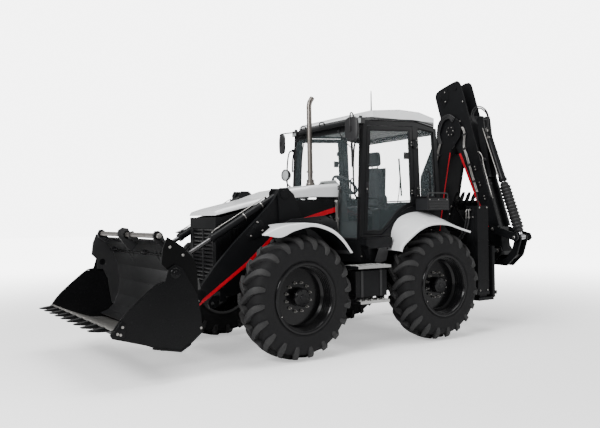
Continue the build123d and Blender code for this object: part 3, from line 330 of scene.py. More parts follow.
# painted shade: the buckets get a darker, less glossy copy of the black enamel, so their outer faces read dark
M["bucket_black"] = paint("bucket_enamel", (0.0026, 0.0027, 0.0031), rough=0.27, coat=0.02, vary=0.3, worn=(0.20, 0.18, 0.165),
                          wear=0.5, dust=0.03, dust_colour=(0.03, 0.028, 0.027), spec=0.09)
M["roof"] = paint("roof_enamel", (0.80, 0.81, 0.82), rough=0.26, coat=0.5, vary=0.03, worn=(0.2, 0.19, 0.18), wear=0.15,
                  dust=0.10, dust_colour=(0.50, 0.47, 0.42), band=(2.902, (0.009, 0.0095, 0.0105)))
M["grey"] = paint("grey_enamel", (0.014, 0.0145, 0.016), rough=0.40, coat=0.05, vary=0.2, dust=0.08, dust_colour=(0.07, 0.066, 0.06), spec=0.25)
M["rim"] = paint("rim_enamel", (0.0025, 0.0025, 0.0030), rough=0.20, coat=0.08, vary=0.2, wear=0.3, dust=0.015,
                 dust_colour=(0.04, 0.038, 0.036), spec=0.20)
M["red"] = paint("red_stripe", (0.52, 0.001, 0.013), rough=0.3, coat=0.08, vary=0.08, wear=0.15, dust=0.03, spec=0.2)
# painted shade: the carcass, grooves and sidewalls, is a darker rubber than the tread bars
M["tyre"] = rubber("tyre_rubber", (0.0065, 0.0065, 0.0070), rough=0.74, grime=0.16, grime_colour=(0.022, 0.021, 0.020), spec=0.2)
M["tread"] = rubber("tread_rubber", (0.0165, 0.0165, 0.0170), rough=0.70, grime=0.35, grime_colour=(0.050, 0.048, 0.045), spec=0.35)
M["hose"] = rubber("hose_rubber", (0.016, 0.016, 0.017), rough=0.5, grime=0.15, bump_scale=300)
M["mat"] = rubber("floor_mat", (0.02, 0.02, 0.02), rough=0.8, grime=0.5)
M["chrome"] = steel("chrome_rod", (0.50, 0.50, 0.52), rough=0.16, grime=0.10)
# painted shade: a darker, duller copy of the chrome rod steel, so the loader's rods read dark
M["rod_painted_shade"] = steel("rod_painted_shade", (0.17, 0.17, 0.175), rough=0.22, grime=0.35)
M["steel"] = steel("worn_steel", (0.42, 0.40, 0.38), rough=0.38, grime=0.45)
M["zinc"] = steel("zinc_plate", (0.38, 0.37, 0.355), rough=0.30, grime=0.30)
M["nut"] = steel("nut_steel", (0.30, 0.295, 0.285), rough=0.28, grime=0.45)
M["stack"] = steel("stack_steel", (0.20, 0.183, 0.168), rough=0.33, scale=(1, 1, 0.05), grime=0.25, dark=(0.16, 0.13, 0.11))
M["iron"] = paint("engine_iron", (0.016, 0.0165, 0.018), rough=0.55, coat=0.0, vary=0.3, dust=0.15, dust_colour=(0.08, 0.075, 0.07), spec=0.3)
M["glass"] = glassy("cab_glass")
M["cloth"] = cloth("seat_cloth")
M["console"] = plastic("console_plastic", (0.030, 0.031, 0.032), rough=0.5, depth=0.08)
M["pod"] = plastic("pod_plastic", (0.42, 0.43, 0.42), rough=0.5)
M["dark_plastic"] = plastic("dark_plastic", (0.010, 0.010, 0.011), rough=0.45)
M["lining"] = plastic("cab_lining", (0.30, 0.31, 0.30), rough=0.7, grain=260, depth=0.12)
M["floor"] = plastic("studio_floor", (0.95, 0.95, 0.95), rough=0.9, vary=0.01, depth=0.0)
# painted light: the floor glows for camera rays, more with distance, so that floor and backdrop meet with no line
nt = M["floor"].node_tree
ln = nt.nodes.new("ShaderNodeVectorMath")
ln.operation = "LENGTH"
link(nt, coords(nt), ln.inputs[0])
floor_glow = nt.nodes.new("ShaderNodeMapRange")
floor_glow.interpolation_type = "SMOOTHSTEP"
for k, val in ((1, 3.0), (2, 16.0), (3, 0.55), (4, 6.0)):
    floor_glow.inputs[k].default_value = val
link(nt, ln.outputs["Value"], floor_glow.inputs[0])
lp = nt.nodes.new("ShaderNodeLightPath")
link(nt, maths(nt, "MULTIPLY", floor_glow.outputs[0], lp.outputs["Is Camera Ray"]), nt.nodes["Principled BSDF"].inputs["Emission Strength"])
nt.nodes["Principled BSDF"].inputs["Emission Color"].default_value = (1, 1, 1, 1)
M["boot"] = rubber("boot_rubber", (0.012, 0.012, 0.013), rough=0.5, grime=0.12, bump_scale=200)
M["gasket"] = rubber("gasket_rubber", (0.010, 0.010, 0.011), rough=0.6, grime=0.1, bump_scale=240)
M["soot"] = rubber("soot", (0.012, 0.011, 0.010), rough=0.9, grime=0.2, bump_scale=140)
M["alu"] = steel("step_alloy", (0.50, 0.50, 0.49), rough=0.36, grime=0.22, dark=(0.2, 0.19, 0.17))
M["worn_plate"] = steel("worn_plate", (0.50, 0.49, 0.47), rough=0.42, scale=(0.15, 1, 1), grime=0.55, dark=(0.10, 0.09, 0.08))
M["lamp"] = plastic("lamp_lens", (0.40, 0.42, 0.42), rough=0.12, grain=420, depth=0.4, vary=0.04, coat=0.6)
M["lamp_red"] = plastic("lamp_red", (0.42, 0.012, 0.010), rough=0.15, grain=300, depth=0.4, vary=0.06, coat=0.6)
M["mirror"] = steel("mirror_glass", (0.70, 0.72, 0.74), rough=0.12, grime=0.04)

SLOT = {"white_paint": "white", "black_paint": "black", "dark_grey": "grey", "rim_black": "rim", "tyre": "tyre",
        "chrome_rod": "chrome", "worn_steel": "steel", "stack_steel": "stack", "engine_iron": "iron", "glass": "glass",
        "seat_fabric": "cloth", "console_plastic": "console", "floor_mat": "mat"}
for sp in frame["record"]["subparts"]:
    o = N[sp["node"]]
    o.data.materials.clear()
    o.data.materials.append(M[SLOT[sp["material_slot"]]])
# painted shade: the buckets' outsides get the darker copy of the black paint
for n in ("bucket_jaw", "digging_bucket"):
    N[n].data.materials[0] = M["bucket_black"]
# painted light: the back plate gets the lighter inside copy of the bucket paint
N["bucket_back"].data.materials[0] = M["bucket_inner_painted_light_and_shade"]
# painted shade: the loader's chrome rods get the darker copy of the rod steel
for n in ("tilt_cylinder_rods", "lift_cylinder_rods"):
    N[n].data.materials[0] = M["rod_painted_shade"]
N["cab_roof"].data.materials[0] = M["roof"]

# ------------------------------------------------------------------ mesh tools
class Piece:
    """A joined mesh in the model's frame that rides on one body; points are given from the front axle."""

    def __init__(self, name, body, mat, slot):
        self.name, self.body, self.mat, self.slot = name, body, mat, slot
        self.bm = bmesh.new()

    def add(self, verts, faces):
        vs = [self.bm.verts.new(Vector(v) + Vector((FX, 0, 0))) for v in verts]
        out = []
        for f in faces:
            try:
                out.append(self.bm.faces.new([vs[i] for i in f]))
            except ValueError:
                pass
        return vs, out

    def _bevel(self, vs, width, seg, angle=0.5):
        if width <= 0:
            return
        es = set()
        for v in vs:
            for e in v.link_edges:
                if len(e.link_faces) == 2 and e.calc_face_angle(0) > angle:
                    es.add(e)
        bmesh.ops.bevel(self.bm, geom=list(es), offset=width, segments=seg, affect="EDGES", profile=0.6, clamp_overlap=True)

    def box(self, a, b, bev=0.004, seg=2, rot=None, about=None):
        x0, y0, z0 = [min(p, q) for p, q in zip(a, b)]
        x1, y1, z1 = [max(p, q) for p, q in zip(a, b)]
        P = [Vector(p) for p in ((x0, y0, z0), (x1, y0, z0), (x1, y1, z0), (x0, y1, z0), (x0, y0, z1), (x1, y0, z1),
                                 (x1, y1, z1), (x0, y1, z1))]
        if rot:
            c = Vector(about) if about else (P[0] + P[6]) / 2
            R = Euler(rot).to_matrix()
            P = [c + R @ (p - c) for p in P]
        vs, _ = self.add(P, [(0, 3, 2, 1), (4, 5, 6, 7), (0, 1, 5, 4), (1, 2, 6, 5), (2, 3, 7, 6), (3, 0, 4, 7)])
        self._bevel(vs, bev, seg)

    def prism(self, pts, plane, a, b, bev=0.003, seg=2):
        """Outline extruded: plane y is a side view of (x, z), x a cross view of (y, z), z a plan of (x, y)."""
        def put(p, t):
            return {"y": (p[0], t, p[1]), "x": (t, p[0], p[1]), "z": (p[0], p[1], t)}[plane]
        n = len(pts)
        vs, fs = self.add([put(p, a) for p in pts] + [put(p, b) for p in pts],
                          [tuple(range(n)), tuple(range(2 * n - 1, n - 1, -1))] +
                          [(i, i + n, (i + 1) % n + n, (i + 1) % n) for i in range(n)])
        bmesh.ops.recalc_face_normals(self.bm, faces=fs)
        self._bevel(vs, bev, seg)

    def cyl(self, p, q, r, r2=None, seg=24, bev=0.0):
        p, q = Vector(p), Vector(q)
        ax = (q - p).normalized()
        s = ax.orthogonal().normalized()
        t = ax.cross(s)
        r2 = r if r2 is None else r2
        ring = [(math.cos(2 * math.pi * i / seg), math.sin(2 * math.pi * i / seg)) for i in range(seg)]
        V = [p + s * (c * r) + t * (w * r) for c, w in ring] + [q + s * (c * r2) + t * (w * r2) for c, w in ring]
        vs, fs = self.add(V, [tuple(range(seg - 1, -1, -1)), tuple(range(seg, 2 * seg))] +
                          [(i, (i + 1) % seg, (i + 1) % seg + seg, i + seg) for i in range(seg)])
        if bev:
            self._bevel(vs, bev, 2, 1.0)

    def lathe(self, prof, p, axis, seg=32, closed=False):
        """(radius, along) table turned about an axis from p."""
        p, ax = Vector(p), Vector(axis).normalized()
        s = ax.orthogonal().normalized()
        t = ax.cross(s)
        V = []
        for r_, h in prof:
            for i in range(seg):
                a = 2 * math.pi * i / seg
                V.append(p + ax * h + s * (math.cos(a) * r_) + t * (math.sin(a) * r_))
        m = len(prof)
        F = [(k * seg + i, k * seg + (i + 1) % seg, (k + 1) % m * seg + (i + 1) % seg, (k + 1) % m * seg + i)
             for k in range(m if closed else m - 1) for i in range(seg)]
        if not closed:
            F += [tuple(range(seg - 1, -1, -1)), tuple(range((m - 1) * seg, m * seg))]
        vs, fs = self.add(V, F)
        bmesh.ops.recalc_face_normals(self.bm, faces=fs)

    def bolt(self, p, n, r=0.012, h=0.009, washer=True):
        p, n = Vector(p), Vector(n).normalized()
        if washer:
            self.cyl(p - n * 0.001, p + n * 0.003, r * 1.35, seg=16)
        self.cyl(p + n * 0.003, p + n * (0.003 + h), r, r * 0.97, seg=6, bev=r * 0.1)
        self.cyl(p + n * (0.003 + h), p + n * (0.003 + h * 1.5), r * 0.55, r * 0.5, seg=12, bev=r * 0.12)

    def tube(self, pts, r, seg=10, step=4, straight=False):
        """Round bar along a smooth path through the points."""
        P = [Vector(p) for p in pts]
        if not straight and len(P) > 2:
            Q = [P[0] * 2 - P[1]] + P + [P[-1] * 2 - P[-2]]
            out = []
            for i in range(1, len(Q) - 2):
                a, b, c, e = Q[i - 1], Q[i], Q[i + 1], Q[i + 2]
                for k in range(step):
                    u_ = k / step
                    out.append(0.5 * (2 * b + (c - a) * u_ + (2 * a - 5 * b + 4 * c - e) * u_ ** 2 +
                                      (3 * b - a - 3 * c + e) * u_ ** 3))
            P = out + [P[-1]]
        n = len(P)
        T = [(P[min(i + 1, n - 1)] - P[max(i - 1, 0)]).normalized() for i in range(n)]
        s = T[0].orthogonal().normalized()
        V = []
        for i in range(n):
            s = (s - T[i] * s.dot(T[i])).normalized()
            t = T[i].cross(s)
            for k in range(seg):
                a = 2 * math.pi * k / seg
                V.append(P[i] + s * (math.cos(a) * r) + t * (math.sin(a) * r))
        F = [(i * seg + k, i * seg + (k + 1) % seg, (i + 1) * seg + (k + 1) % seg, (i + 1) * seg + k)
             for i in range(n - 1) for k in range(seg)]
        F += [tuple(range(seg - 1, -1, -1)), tuple(range((n - 1) * seg, n * seg))]
        self.add(V, F)

    def done(self, smooth=40):
        me = bpy.data.meshes.new(self.name)
        self.bm.to_mesh(me)
        self.bm.free()
        me.polygons.foreach_set("use_smooth", [True] * len(me.polygons))
        me.set_sharp_from_angle(angle=math.radians(smooth))
        o = bpy.data.objects.new(self.name, me)
        bpy.context.scene.collection.objects.link(o)
        o.data.materials.append(M[self.mat])
        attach(o, self.body)
        return o


CORNERS = [("front_left", 0.0, 1), ("front_right", 0.0, -1), ("rear_left", -2.2, 1), ("rear_right", -2.2, -1)]
WY, WZ = 0.985, 0.715

# ------------------------------------------------------------------ tyres: carcass with two rows of bar lugs
# offset from the wheel's middle, radius
CARCASS = [(0.178, 0.388), (0.190, 0.398), (0.200, 0.412), (0.206, 0.430), (0.211, 0.436), (0.208, 0.444), (0.210, 0.49),
           (0.209, 0.54), (0.200, 0.585), (0.182, 0.618), (0.155, 0.640), (0.120, 0.654), (0.06, 0.661), (0.0, 0.663)]
# lug stations from the middle out: top offset, top radius, base offset, base radius, turn, half widths of top and base
LUG = [(-0.026, 0.7145, -0.028, 0.652, 0.022, 0.026, 0.031), (0.03, 0.7148, 0.03, 0.652, -0.045, 0.032, 0.037),
       (0.085, 0.7085, 0.080, 0.648, -0.112, 0.035, 0.040), (0.130, 0.695, 0.118, 0.638, -0.162, 0.037, 0.042),
       (0.165, 0.675, 0.146, 0.624, -0.194, 0.037, 0.042), (0.192, 0.648, 0.168, 0.604, -0.210, 0.034, 0.039),
       (0.209, 0.617, 0.184, 0.580, -0.219, 0.029, 0.034), (0.2150, 0.588, 0.196, 0.56, -0.223, 0.022, 0.027),
       (0.2125, 0.560, 0.204, 0.545, -0.225, 0.013, 0.017)]
LUGS = 20


def tyre(corner, x, s):
    p = Piece("tyre_tread_" + corner, "wheel_" + corner, "tyre", "tyre")
    prof = [(y, r_) for y, r_ in CARCASS] + [(-y, r_) for y, r_ in CARCASS[-2::-1]]
    seg = 96
    V = []
    for y, r_ in prof:
        for i in range(seg):
            a = 2 * math.pi * i / seg
            V.append((x + r_ * math.sin(a), s * WY + y, WZ + r_ * math.cos(a)))
    m = len(prof)
    vs, fs = p.add(V, [(k * seg + i, k * seg + (i + 1) % seg, (k + 1) % m * seg + (i + 1) % seg, (k + 1) % m * seg + i)
                       for k in range(m) for i in range(seg)])
    bmesh.ops.recalc_face_normals(p.bm, faces=fs)
    pitch = 2 * math.pi / LUGS
    for side_ in (1, -1):
        for j in range(LUGS):
            a0 = j * pitch + (0.5 * pitch if side_ < 0 else 0)
            V = []
            for yt, rt, yb, rb, turn, wt, wb in LUG:
                for (yy, rr, hw) in ((yb, rb, -wb), (yt, rt - 0.004, -wt), (yt, rt, -wt + 0.006), (yt, rt, wt - 0.006),
                                     (yt, rt - 0.004, wt), (yb, rb, wb)):
                    a = a0 + turn + hw / rr
                    V.append((x + rr * math.sin(a), s * WY + side_ * yy, WZ + rr * math.cos(a)))
            n = len(LUG)
            F = [(i * 6 + k, i * 6 + k + 1, (i + 1) * 6 + k + 1, (i + 1) * 6 + k) for i in range(n - 1) for k in range(5)]
            F += [tuple(range(6)), tuple(range((n - 1) * 6 + 5, (n - 1) * 6 - 1, -1))]
            F += [(i * 6 + 5, i * 6, (i + 1) * 6, (i + 1) * 6 + 5) for i in range(n - 1)]
            vs, fs = p.add(V, F)
            bmesh.ops.recalc_face_normals(p.bm, faces=fs)
    o = p.done(32)
    # painted shade: the bars get a lighter rubber than the carcass between them, so the grooves read shaded
    o.data.materials.append(M["tread"])
    for i, poly in enumerate(o.data.polygons):
        poly.material_index = 1 if i >= m * seg else 0
    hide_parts("tyre_" + corner)


for c, x, s in CORNERS:
    tyre(c, x, s)
    # wheel nuts, hub cover and barrel steps
    p = Piece("wheel_nuts_" + c, "wheel_" + c, "nut", "worn_steel")
    for i in range(12):
        a = 2 * math.pi * (i + 0.5) / 12
        q = (x + 0.166 * math.sin(a), s * (WY + 0.034), WZ + 0.166 * math.cos(a))
        p.cyl(q, (q[0], q[1] + s * 0.006, q[2]), 0.017, 0.0165, seg=18)
        p.cyl((q[0], q[1] + s * 0.006, q[2]), (q[0], q[1] + s * 0.028, q[2]), 0.0130, 0.0125, seg=6, bev=0.0015)
        p.cyl((q[0], q[1] + s * 0.030, q[2]), (q[0], q[1] + s * 0.042, q[2]), 0.008, 0.007, seg=12, bev=0.001)
    p.done()
    p = Piece("wheel_trim_" + c, "wheel_" + c, "rim", "rim_black")
    for off_, r_ in ((0.085, 0.351), (0.118, 0.354), (0.150, 0.357), (0.178, 0.360)):
        p.lathe([(r_ + 0.004, -0.007), (r_ - 0.006, -0.004), (r_ - 0.006, 0.004), (r_ + 0.004, 0.007)],
                (x, s * (WY + off_), WZ), (0, 1, 0), seg=64, closed=True)
    p.lathe([(0.003, 0.012), (0.030, 0.012), (0.034, 0.008), (0.036, -0.002)], (x, s * (WY + 0.137), WZ), (0, s, 0), seg=24)
    p.lathe([(0.070, 0.002), (0.088, 0.004), (0.094, 0.0), (0.096, -0.006)], (x, s * (WY + 0.1365), WZ), (0, s, 0), seg=48)
    for i in range(6):
        a = 2 * math.pi * (i + 0.25) / 6
        p.bolt((x + 0.078 * math.sin(a), s * (WY + 0.139), WZ + 0.078 * math.cos(a)), (0, s, 0), 0.0075, 0.006)
    # outer flange with its rolled edge
    p.lathe([(0.366, 0.196), (0.372, 0.2095), (0.390, 0.2135), (0.405, 0.2115), (0.409, 0.205), (0.405, 0.197), (0.390, 0.196)],
            (x, s * WY, WZ), (0, s, 0), seg=72, closed=True)
    p.done()
    p = Piece("tyre_valve_" + c, "wheel_" + c, "zinc", "worn_steel")
    a = math.radians(118)
    q = Vector((x + 0.385 * math.sin(a), s * (WY + 0.192), WZ + 0.385 * math.cos(a)))
    p.cyl(q, q + Vector((0, s * 0.035, 0)), 0.0065, 0.0055, seg=12, bev=0.001)
    p.cyl(q + Vector((0, -s * 0.004, 0)), q + Vector((0, s * 0.006, 0)), 0.012, seg=12, bev=0.001)
    p.done()

# ------------------------------------------------------------------ fenders: white sheet, black underside
def flow(pts, step=5):
    """Smooth run through (a, b) points."""
    Q = [Vector(p) for p in pts]
    Q = [Q[0] * 2 - Q[1]] + Q + [Q[-1] * 2 - Q[-2]]
    out = []
    for i in range(1, len(Q) - 2):
        a, b, c, e = Q[i - 1], Q[i], Q[i + 1], Q[i + 2]
        for k in range(step):
            t = k / step
            out.append(0.5 * (2 * b + (c - a) * t + (2 * a - 5 * b + 4 * c - e) * t ** 2 + (3 * b - a - 3 * c + e) * t ** 3))
    return out + [Q[-2]]


def fender(name, node, rings, white_count):
    """Closed sheet from section rings; the first faces of each ring are its painted outside."""
    p = Piece(name, "chassis", "white", "white_paint")
    m = len(rings[0])
    V = [v for ring in rings for v in ring]
    n = len(rings)
    F = [(i * m + k, i * m + (k + 1) % m, (i + 1) * m + (k + 1) % m, (i + 1) * m + k) for i in range(n - 1) for k in range(m)]
    F += [tuple(range(m)), tuple(range(n * m - 1, (n - 1) * m - 1, -1))]
    vs, fs = p.add(V, F)
    bmesh.ops.recalc_face_normals(p.bm, faces=fs)
    o = p.done(50)
    o.data.materials.append(M["black"])
    for i, poly in enumerate(o.data.polygons):
        poly.material_index = 0 if i >= (n - 1) * m or i % m < white_count else 1
    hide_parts(node)


RF_IN = [(-1.586, 1.188), (-1.632, 1.290), (-1.664, 1.450), (-1.765, 1.586), (-1.927, 1.655), (-2.130, 1.682), (-2.340, 1.665),
         (-2.540, 1.580), (-2.716, 1.420)]
RF_OUT = [(-1.436, 1.190), (-1.470, 1.262), (-1.578, 1.345), (-1.758, 1.456), (-1.940, 1.517), (-2.126, 1.532), (-2.314, 1.514),
          (-2.505, 1.463), (-2.716, 1.410)]
FF = [(-0.675, 1.207), (-0.558, 1.351), (-0.413, 1.466), (-0.243, 1.530), (-0.075, 1.555), (0.142, 1.550), (0.327, 1.517), (0.533, 1.441)]
FLIP = [(-0.640, 1.196), (-0.530, 1.322), (-0.400, 1.424), (-0.243, 1.486), (-0.075, 1.512), (0.150, 1.467), (0.329, 1.402), (0.533, 1.430)]
ROWS = 9
for s in (1, -1):
    side_name = "left" if s > 0 else "right"
    rings = []
    for a, b in zip(flow(RF_IN), flow(RF_OUT)):
        mid = Vector((-2.2, 0.715))
        ring = []
        for k in range(ROWS):
            t = k / (ROWS - 1)
            q = a.lerp(b, t)
            q = q - (mid - q).normalized() * (0.004 * math.sin(math.pi * t))
            ring.append((q.x, s * (0.782 + 0.398 * t), q.y))
        for y_, dn in ((1.1860, 0.003), (1.1885, 0.010), (1.1885, 0.028), (1.1830, 0.030), (1.1800, 0.014)):
            q = b + (mid - b).normalized() * dn
            ring.append((q.x, s * y_, q.y))
        for k in range(ROWS - 1, -1, -1):
            t = k / (ROWS - 1)
            q = a.lerp(b, t)
            q = q + (mid - q).normalized() * 0.010
            ring.append((q.x, s * (0.782 + 0.394 * t), q.y))
        rings.append(ring)
    fender("rear_fender_" + side_name, "rear_fenders", rings, ROWS + 2)
    rings = []
    for a, b in zip(flow(FF), flow(FLIP)):
        y_in = 0.79 if a.x < 0.25 else (0.79 + (a.x - 0.25) / 0.09 * 0.21 if a.x < 0.34 else 1.0 + (a.x - 0.34) / 0.22 * 0.15)
        ring = []
        for k in range(ROWS):
            t = k / (ROWS - 1)
            ring.append((a.x, s * (y_in + (1.178 - y_in) * t), a.y + 0.004 * math.sin(math.pi * t)))
        low = min(b.y, a.y - 0.014)
        for y_, z_ in ((1.186, a.y - 0.003), (1.191, a.y - 0.010), (1.191, low), (1.178, low), (1.176, a.y - 0.014)):
            ring.append((a.x if z_ > a.y - 0.011 else (a.x * 0.0 + (b.x if z_ == low else a.x)), s * y_, z_))
        for k in range(ROWS - 1, -1, -1):
            t = k / (ROWS - 1)
            ring.append((a.x, s * (y_in + (1.172 - y_in) * t), a.y - 0.013))
        rings.append(ring)
    fender("front_fender_" + side_name, "front_fenders", rings, ROWS + 2)
p = Piece("fender_panels", "chassis", "black", "black_paint")
for s in (1, -1):
    p.prism([(-0.66, 1.225), (-0.552, 1.345), (-0.413, 1.456), (-0.243, 1.520), (-0.06, 1.542), (0.06, 1.542), (-0.08, 1.600), (-0.56, 1.640),
             (-0.76, 1.560), (-0.80, 1.225)], "y", s * 0.776, s * 0.7895, 0.003)
    p.box((-0.64, s * 0.352, 1.560), (-0.40, s * 0.778, 1.584), 0.004)
    for x, z in ((-0.70, 1.30), (-0.70, 1.50), (-0.50, 1.60), (-0.20, 1.575)):
        p.bolt((x, s * 0.7895, z), (0, s, 0), 0.009, 0.006)
o = p.done()
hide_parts("front_fenders")

# ------------------------------------------------------------------ red stripes
p = Piece("stripes_hood", "chassis", "red", "black_paint")
for s in (1, -1):
    p.prism([(-0.24, 1.4885), (-0.60, 1.578), (-1.118, 1.700), (-1.118, 1.768), (-0.60, 1.628), (-0.24, 1.528)], "y",
            s * 0.3525, s * 0.355, 0.0008, 1)
p.done()
p = Piece("stripes_arms", "loader_arms", "red", "black_paint")
for s in (1, -1):
    p.prism([(1.075, 0.602), (0.984, 0.663), (0.372, 1.078), (0.060, 1.343), (-0.02, 1.49), (0.01, 1.505), (0.086, 1.370),
             (0.394, 1.110), (1.000, 0.697), (1.095, 0.634), (1.098, 0.612)], "y", s * 0.5525, s * 0.5555, 0.0008, 1)
p.done()
for s in (1, -1):
    p = Piece("stripe_boom_" + ("front" if s > 0 else "back"), "boom", "red", "black_paint")
    p.prism([(-0.318, 1.16), (-0.172, 1.952), (-0.035, 2.612), (-0.062, 2.625), (-0.205, 1.957), (-0.340, 1.185)], "x",
            XB + s * 0.1705, XB + s * 0.1725, 0.0008, 1)
    p.done()
    p = Piece("stripe_dipper_" + ("front" if s > 0 else "back"), "dipper", "red", "black_paint")
    p.prism([(0.618, 1.437), (0.470, 1.752), (0.092, 2.592), (0.132, 2.600), (0.508, 1.765), (0.652, 1.452)], "x",
            XB + s * 0.1325, XB + s * 0.1345, 0.0008, 1)
    p.done()

# ------------------------------------------------------------------ nose, hood and exhaust
p = Piece("grille", "chassis", "dark_plastic", "black_paint")
for i in range(14):
    z = 0.885 + i * 0.0465
    p.box((0.664, -0.276, z - 0.010), (0.690, 0.276, z + 0.010), 0.004, 2, rot=(0, math.radians(28), 0))
p.box((0.655, -0.012, 0.862), (0.694, 0.012, 1.498), 0.004)
for y in (-0.278, 0.278):
    p.box((0.656, y - 0.008, 0.862), (0.699, y + 0.008, 1.498), 0.003)
p.done()
p = Piece("nose_trim", "chassis", "black", "black_paint")
# side louvres of the engine panels
for s in (1, -1):
    for i in range(9):
        x = 0.06 + i * 0.052
        z = 1.33 - (x - 0.1) * 0.22
        p.box((x, s * 0.350, z), (x + 0.030, s * 0.357, z + 0.24), 0.003, 2, rot=(0, 0, s * math.radians(8)))
    p.box((0.615, s * 0.349, 1.19), (0.632, s * 0.3545, 1.62), 0.002)
    p.box((-0.262, s * 0.349, 1.52), (-0.252, s * 0.3535, 1.80), 0.001)
p.done()
p = Piece("hood_seams", "chassis", "dark_plastic", "black_paint")
for s in (1, -1):
    # gasket along the hood's lower edge
    p.tube([(-1.12, s * 0.352, 1.884), (-0.60, s * 0.352, 1.878), (-0.25, s * 0.352, 1.850), (0.10, s * 0.352, 1.788),
            (0.66, s * 0.352, 1.660)], 0.006, 8)
    # latch
    p.box((-0.42, s * 0.354, 1.838), (-0.36, s * 0.364, 1.868), 0.004)
# centre seam and grip of the hood
p.box((-1.118, -0.05, 2.068), (-1.095, 0.05, 2.082), 0.004)
p.done()
p = Piece("exhaust_collar", "chassis", "stack", "stack_steel")
p.lathe([(0.034, 0.0), (0.058, 0.0), (0.060, 0.006), (0.056, 0.030), (0.038, 0.040), (0.034, 0.040)], (-0.742, 0.25, 2.036), (0, 0, 1), 28)
p.lathe([(0.0335, 0.0), (0.0395, 0.002), (0.0395, 0.024), (0.0335, 0.026)], (-0.7405, 0.25, 2.20), (0, 0, 1), 28)
p.box((-0.715, 0.241, 2.203), (-0.690, 0.259, 2.223), 0.002)
p.done()
p = Piece("exhaust_mouth", "chassis", "soot", "stack_steel")
d0 = Vector((-0.746 - -0.786, 0, 3.122 - 3.182)).normalized() * -1
p.lathe([(0.0268, 0.0), (0.0268, 0.052), (0.002, 0.0), (0.001, -0.001)], Vector((-0.752, 0.25, 3.131)), d0, 24)
p.done()

# round work light on a stalk beside the hood
p = Piece("hood_lamp", "chassis", "dark_plastic", "black_paint")
q = Vector((-0.735, -0.325, 2.205))
p.lathe([(0.020, -0.062), (0.050, -0.056), (0.070, -0.034), (0.079, 0.0), (0.081, 0.014), (0.072, 0.016), (0.070, 0.002),
         (0.02, -0.01)], q, (1, 0.12, 0), 32)
p.tube([q + Vector((-0.01, 0, -0.07)), q + Vector((-0.02, 0.0, -0.105)), q + Vector((-0.045, 0.0, -0.135)), (-0.80, -0.30, 2.040)],
       0.0095, 10)
p.box((-0.83, -0.33, 2.028), (-0.77, -0.27, 2.046), 0.004)
p.done()
p = Piece("hood_lamp_lens", "chassis", "lamp", "console_plastic")
p.lathe([(0.001, 0.020), (0.030, 0.018), (0.055, 0.012), (0.071, 0.004), (0.071, -0.004), (0.001, -0.004)], q, (1, 0.12, 0), 32)
p.done()

# ------------------------------------------------------------------ loader: pins, bolts and lines
p = Piece("arm_fittings", "loader_arms", "black", "black_paint")
for s in (1, -1):
    for (x, z, r_) in ((1.16, 0.68, 0.052), (0.262, 1.502, 0.046)):
        p.lathe([(0.002, 0.012), (r_ * 0.5, 0.012), (r_ * 0.55, 0.004), (r_, 0.002), (r_ + 0.004, -0.004)],
                (x, s * (0.587 if x > 1 else 0.5525), z), (0, s, 0), 28)
    # doubler plates and their ribs
    p.prism([(1.20, 0.735), (1.228, 0.665), (1.185, 0.612), (1.112, 0.604), (1.00, 0.680), (0.93, 0.78), (0.99, 0.83)], "y",
            s * 0.551, s * 0.559, 0.003)
    p.prism([(0.20, 1.60), (0.40, 1.42), (0.36, 1.36), (0.22, 1.39), (0.13, 1.48)], "y", s * 0.551, s * 0.558, 0.003)
    # lip along the upper edge
    p.tube([(-0.055, s * 0.549, 1.960), (0.004, s * 0.549, 1.846), (0.162, s * 0.549, 1.688), (0.560, s * 0.549, 1.329),
            (0.842, s * 0.549, 1.037)], 0.006, 8)
p.done()
p = Piece("arm_bolts", "loader_arms", "zinc", "worn_steel")
for s in (1, -1):
    for x, z in ((0.18, 1.47), (0.34, 1.41), (0.25, 1.57), (1.215, 0.70), (1.03, 0.70), (1.13, 0.628)):
        p.bolt((x, s * 0.558, z), (0, s, 0), 0.010, 0.008)
p.done()
p = Piece("arm_lines", "loader_arms", "zinc", "worn_steel")
for s in (1, -1):
    for k in (0, 1):
        o_ = 0.018 * k
        # steel lines clipped along the arm's inner face
        p.tube([(-0.03, s * 0.486, 1.80 - o_), (0.055, s * 0.486, 1.70 - o_), (0.16, s * 0.486, 1.60 - o_), (0.42, s * 0.486, 1.34 - o_),
                (0.66, s * 0.486, 1.11 - o_), (0.86, s * 0.486, 0.90 - o_)], 0.0065, 8)
p.done()
p = Piece("arm_clips", "loader_arms", "dark_plastic", "black_paint")
for s in (1, -1):
    for x, z in ((0.13, 1.62), (0.42, 1.333), (0.70, 1.06)):
        p.box((x - 0.02, s * 0.474, z - 0.035), (x + 0.02, s * 0.499, z + 0.018), 0.004, 2, rot=(0, math.radians(42), 0))
p.done()
# flexible hoses at the pivot, held at both ends
p = Piece("arm_hoses", "loader_arms", "hose", "floor_mat")
for s in (1, -1):
    for k in (0, 1):
        o_ = 0.020 * k
        p.tube([(-0.03, s * 0.486, 1.800 - o_), (-0.075, s * 0.483, 1.842 - o_), (-0.115, s * 0.480, 1.800 - o_), (-0.11, s * 0.480, 1.72 - o_)], 0.010, 10)
        p.tube([(0.86, s * 0.486, 0.90 - o_), (0.92, s * 0.484, 0.86 - o_), (0.99, s * 0.470, 0.87 - o_)], 0.010, 10)
p.done()
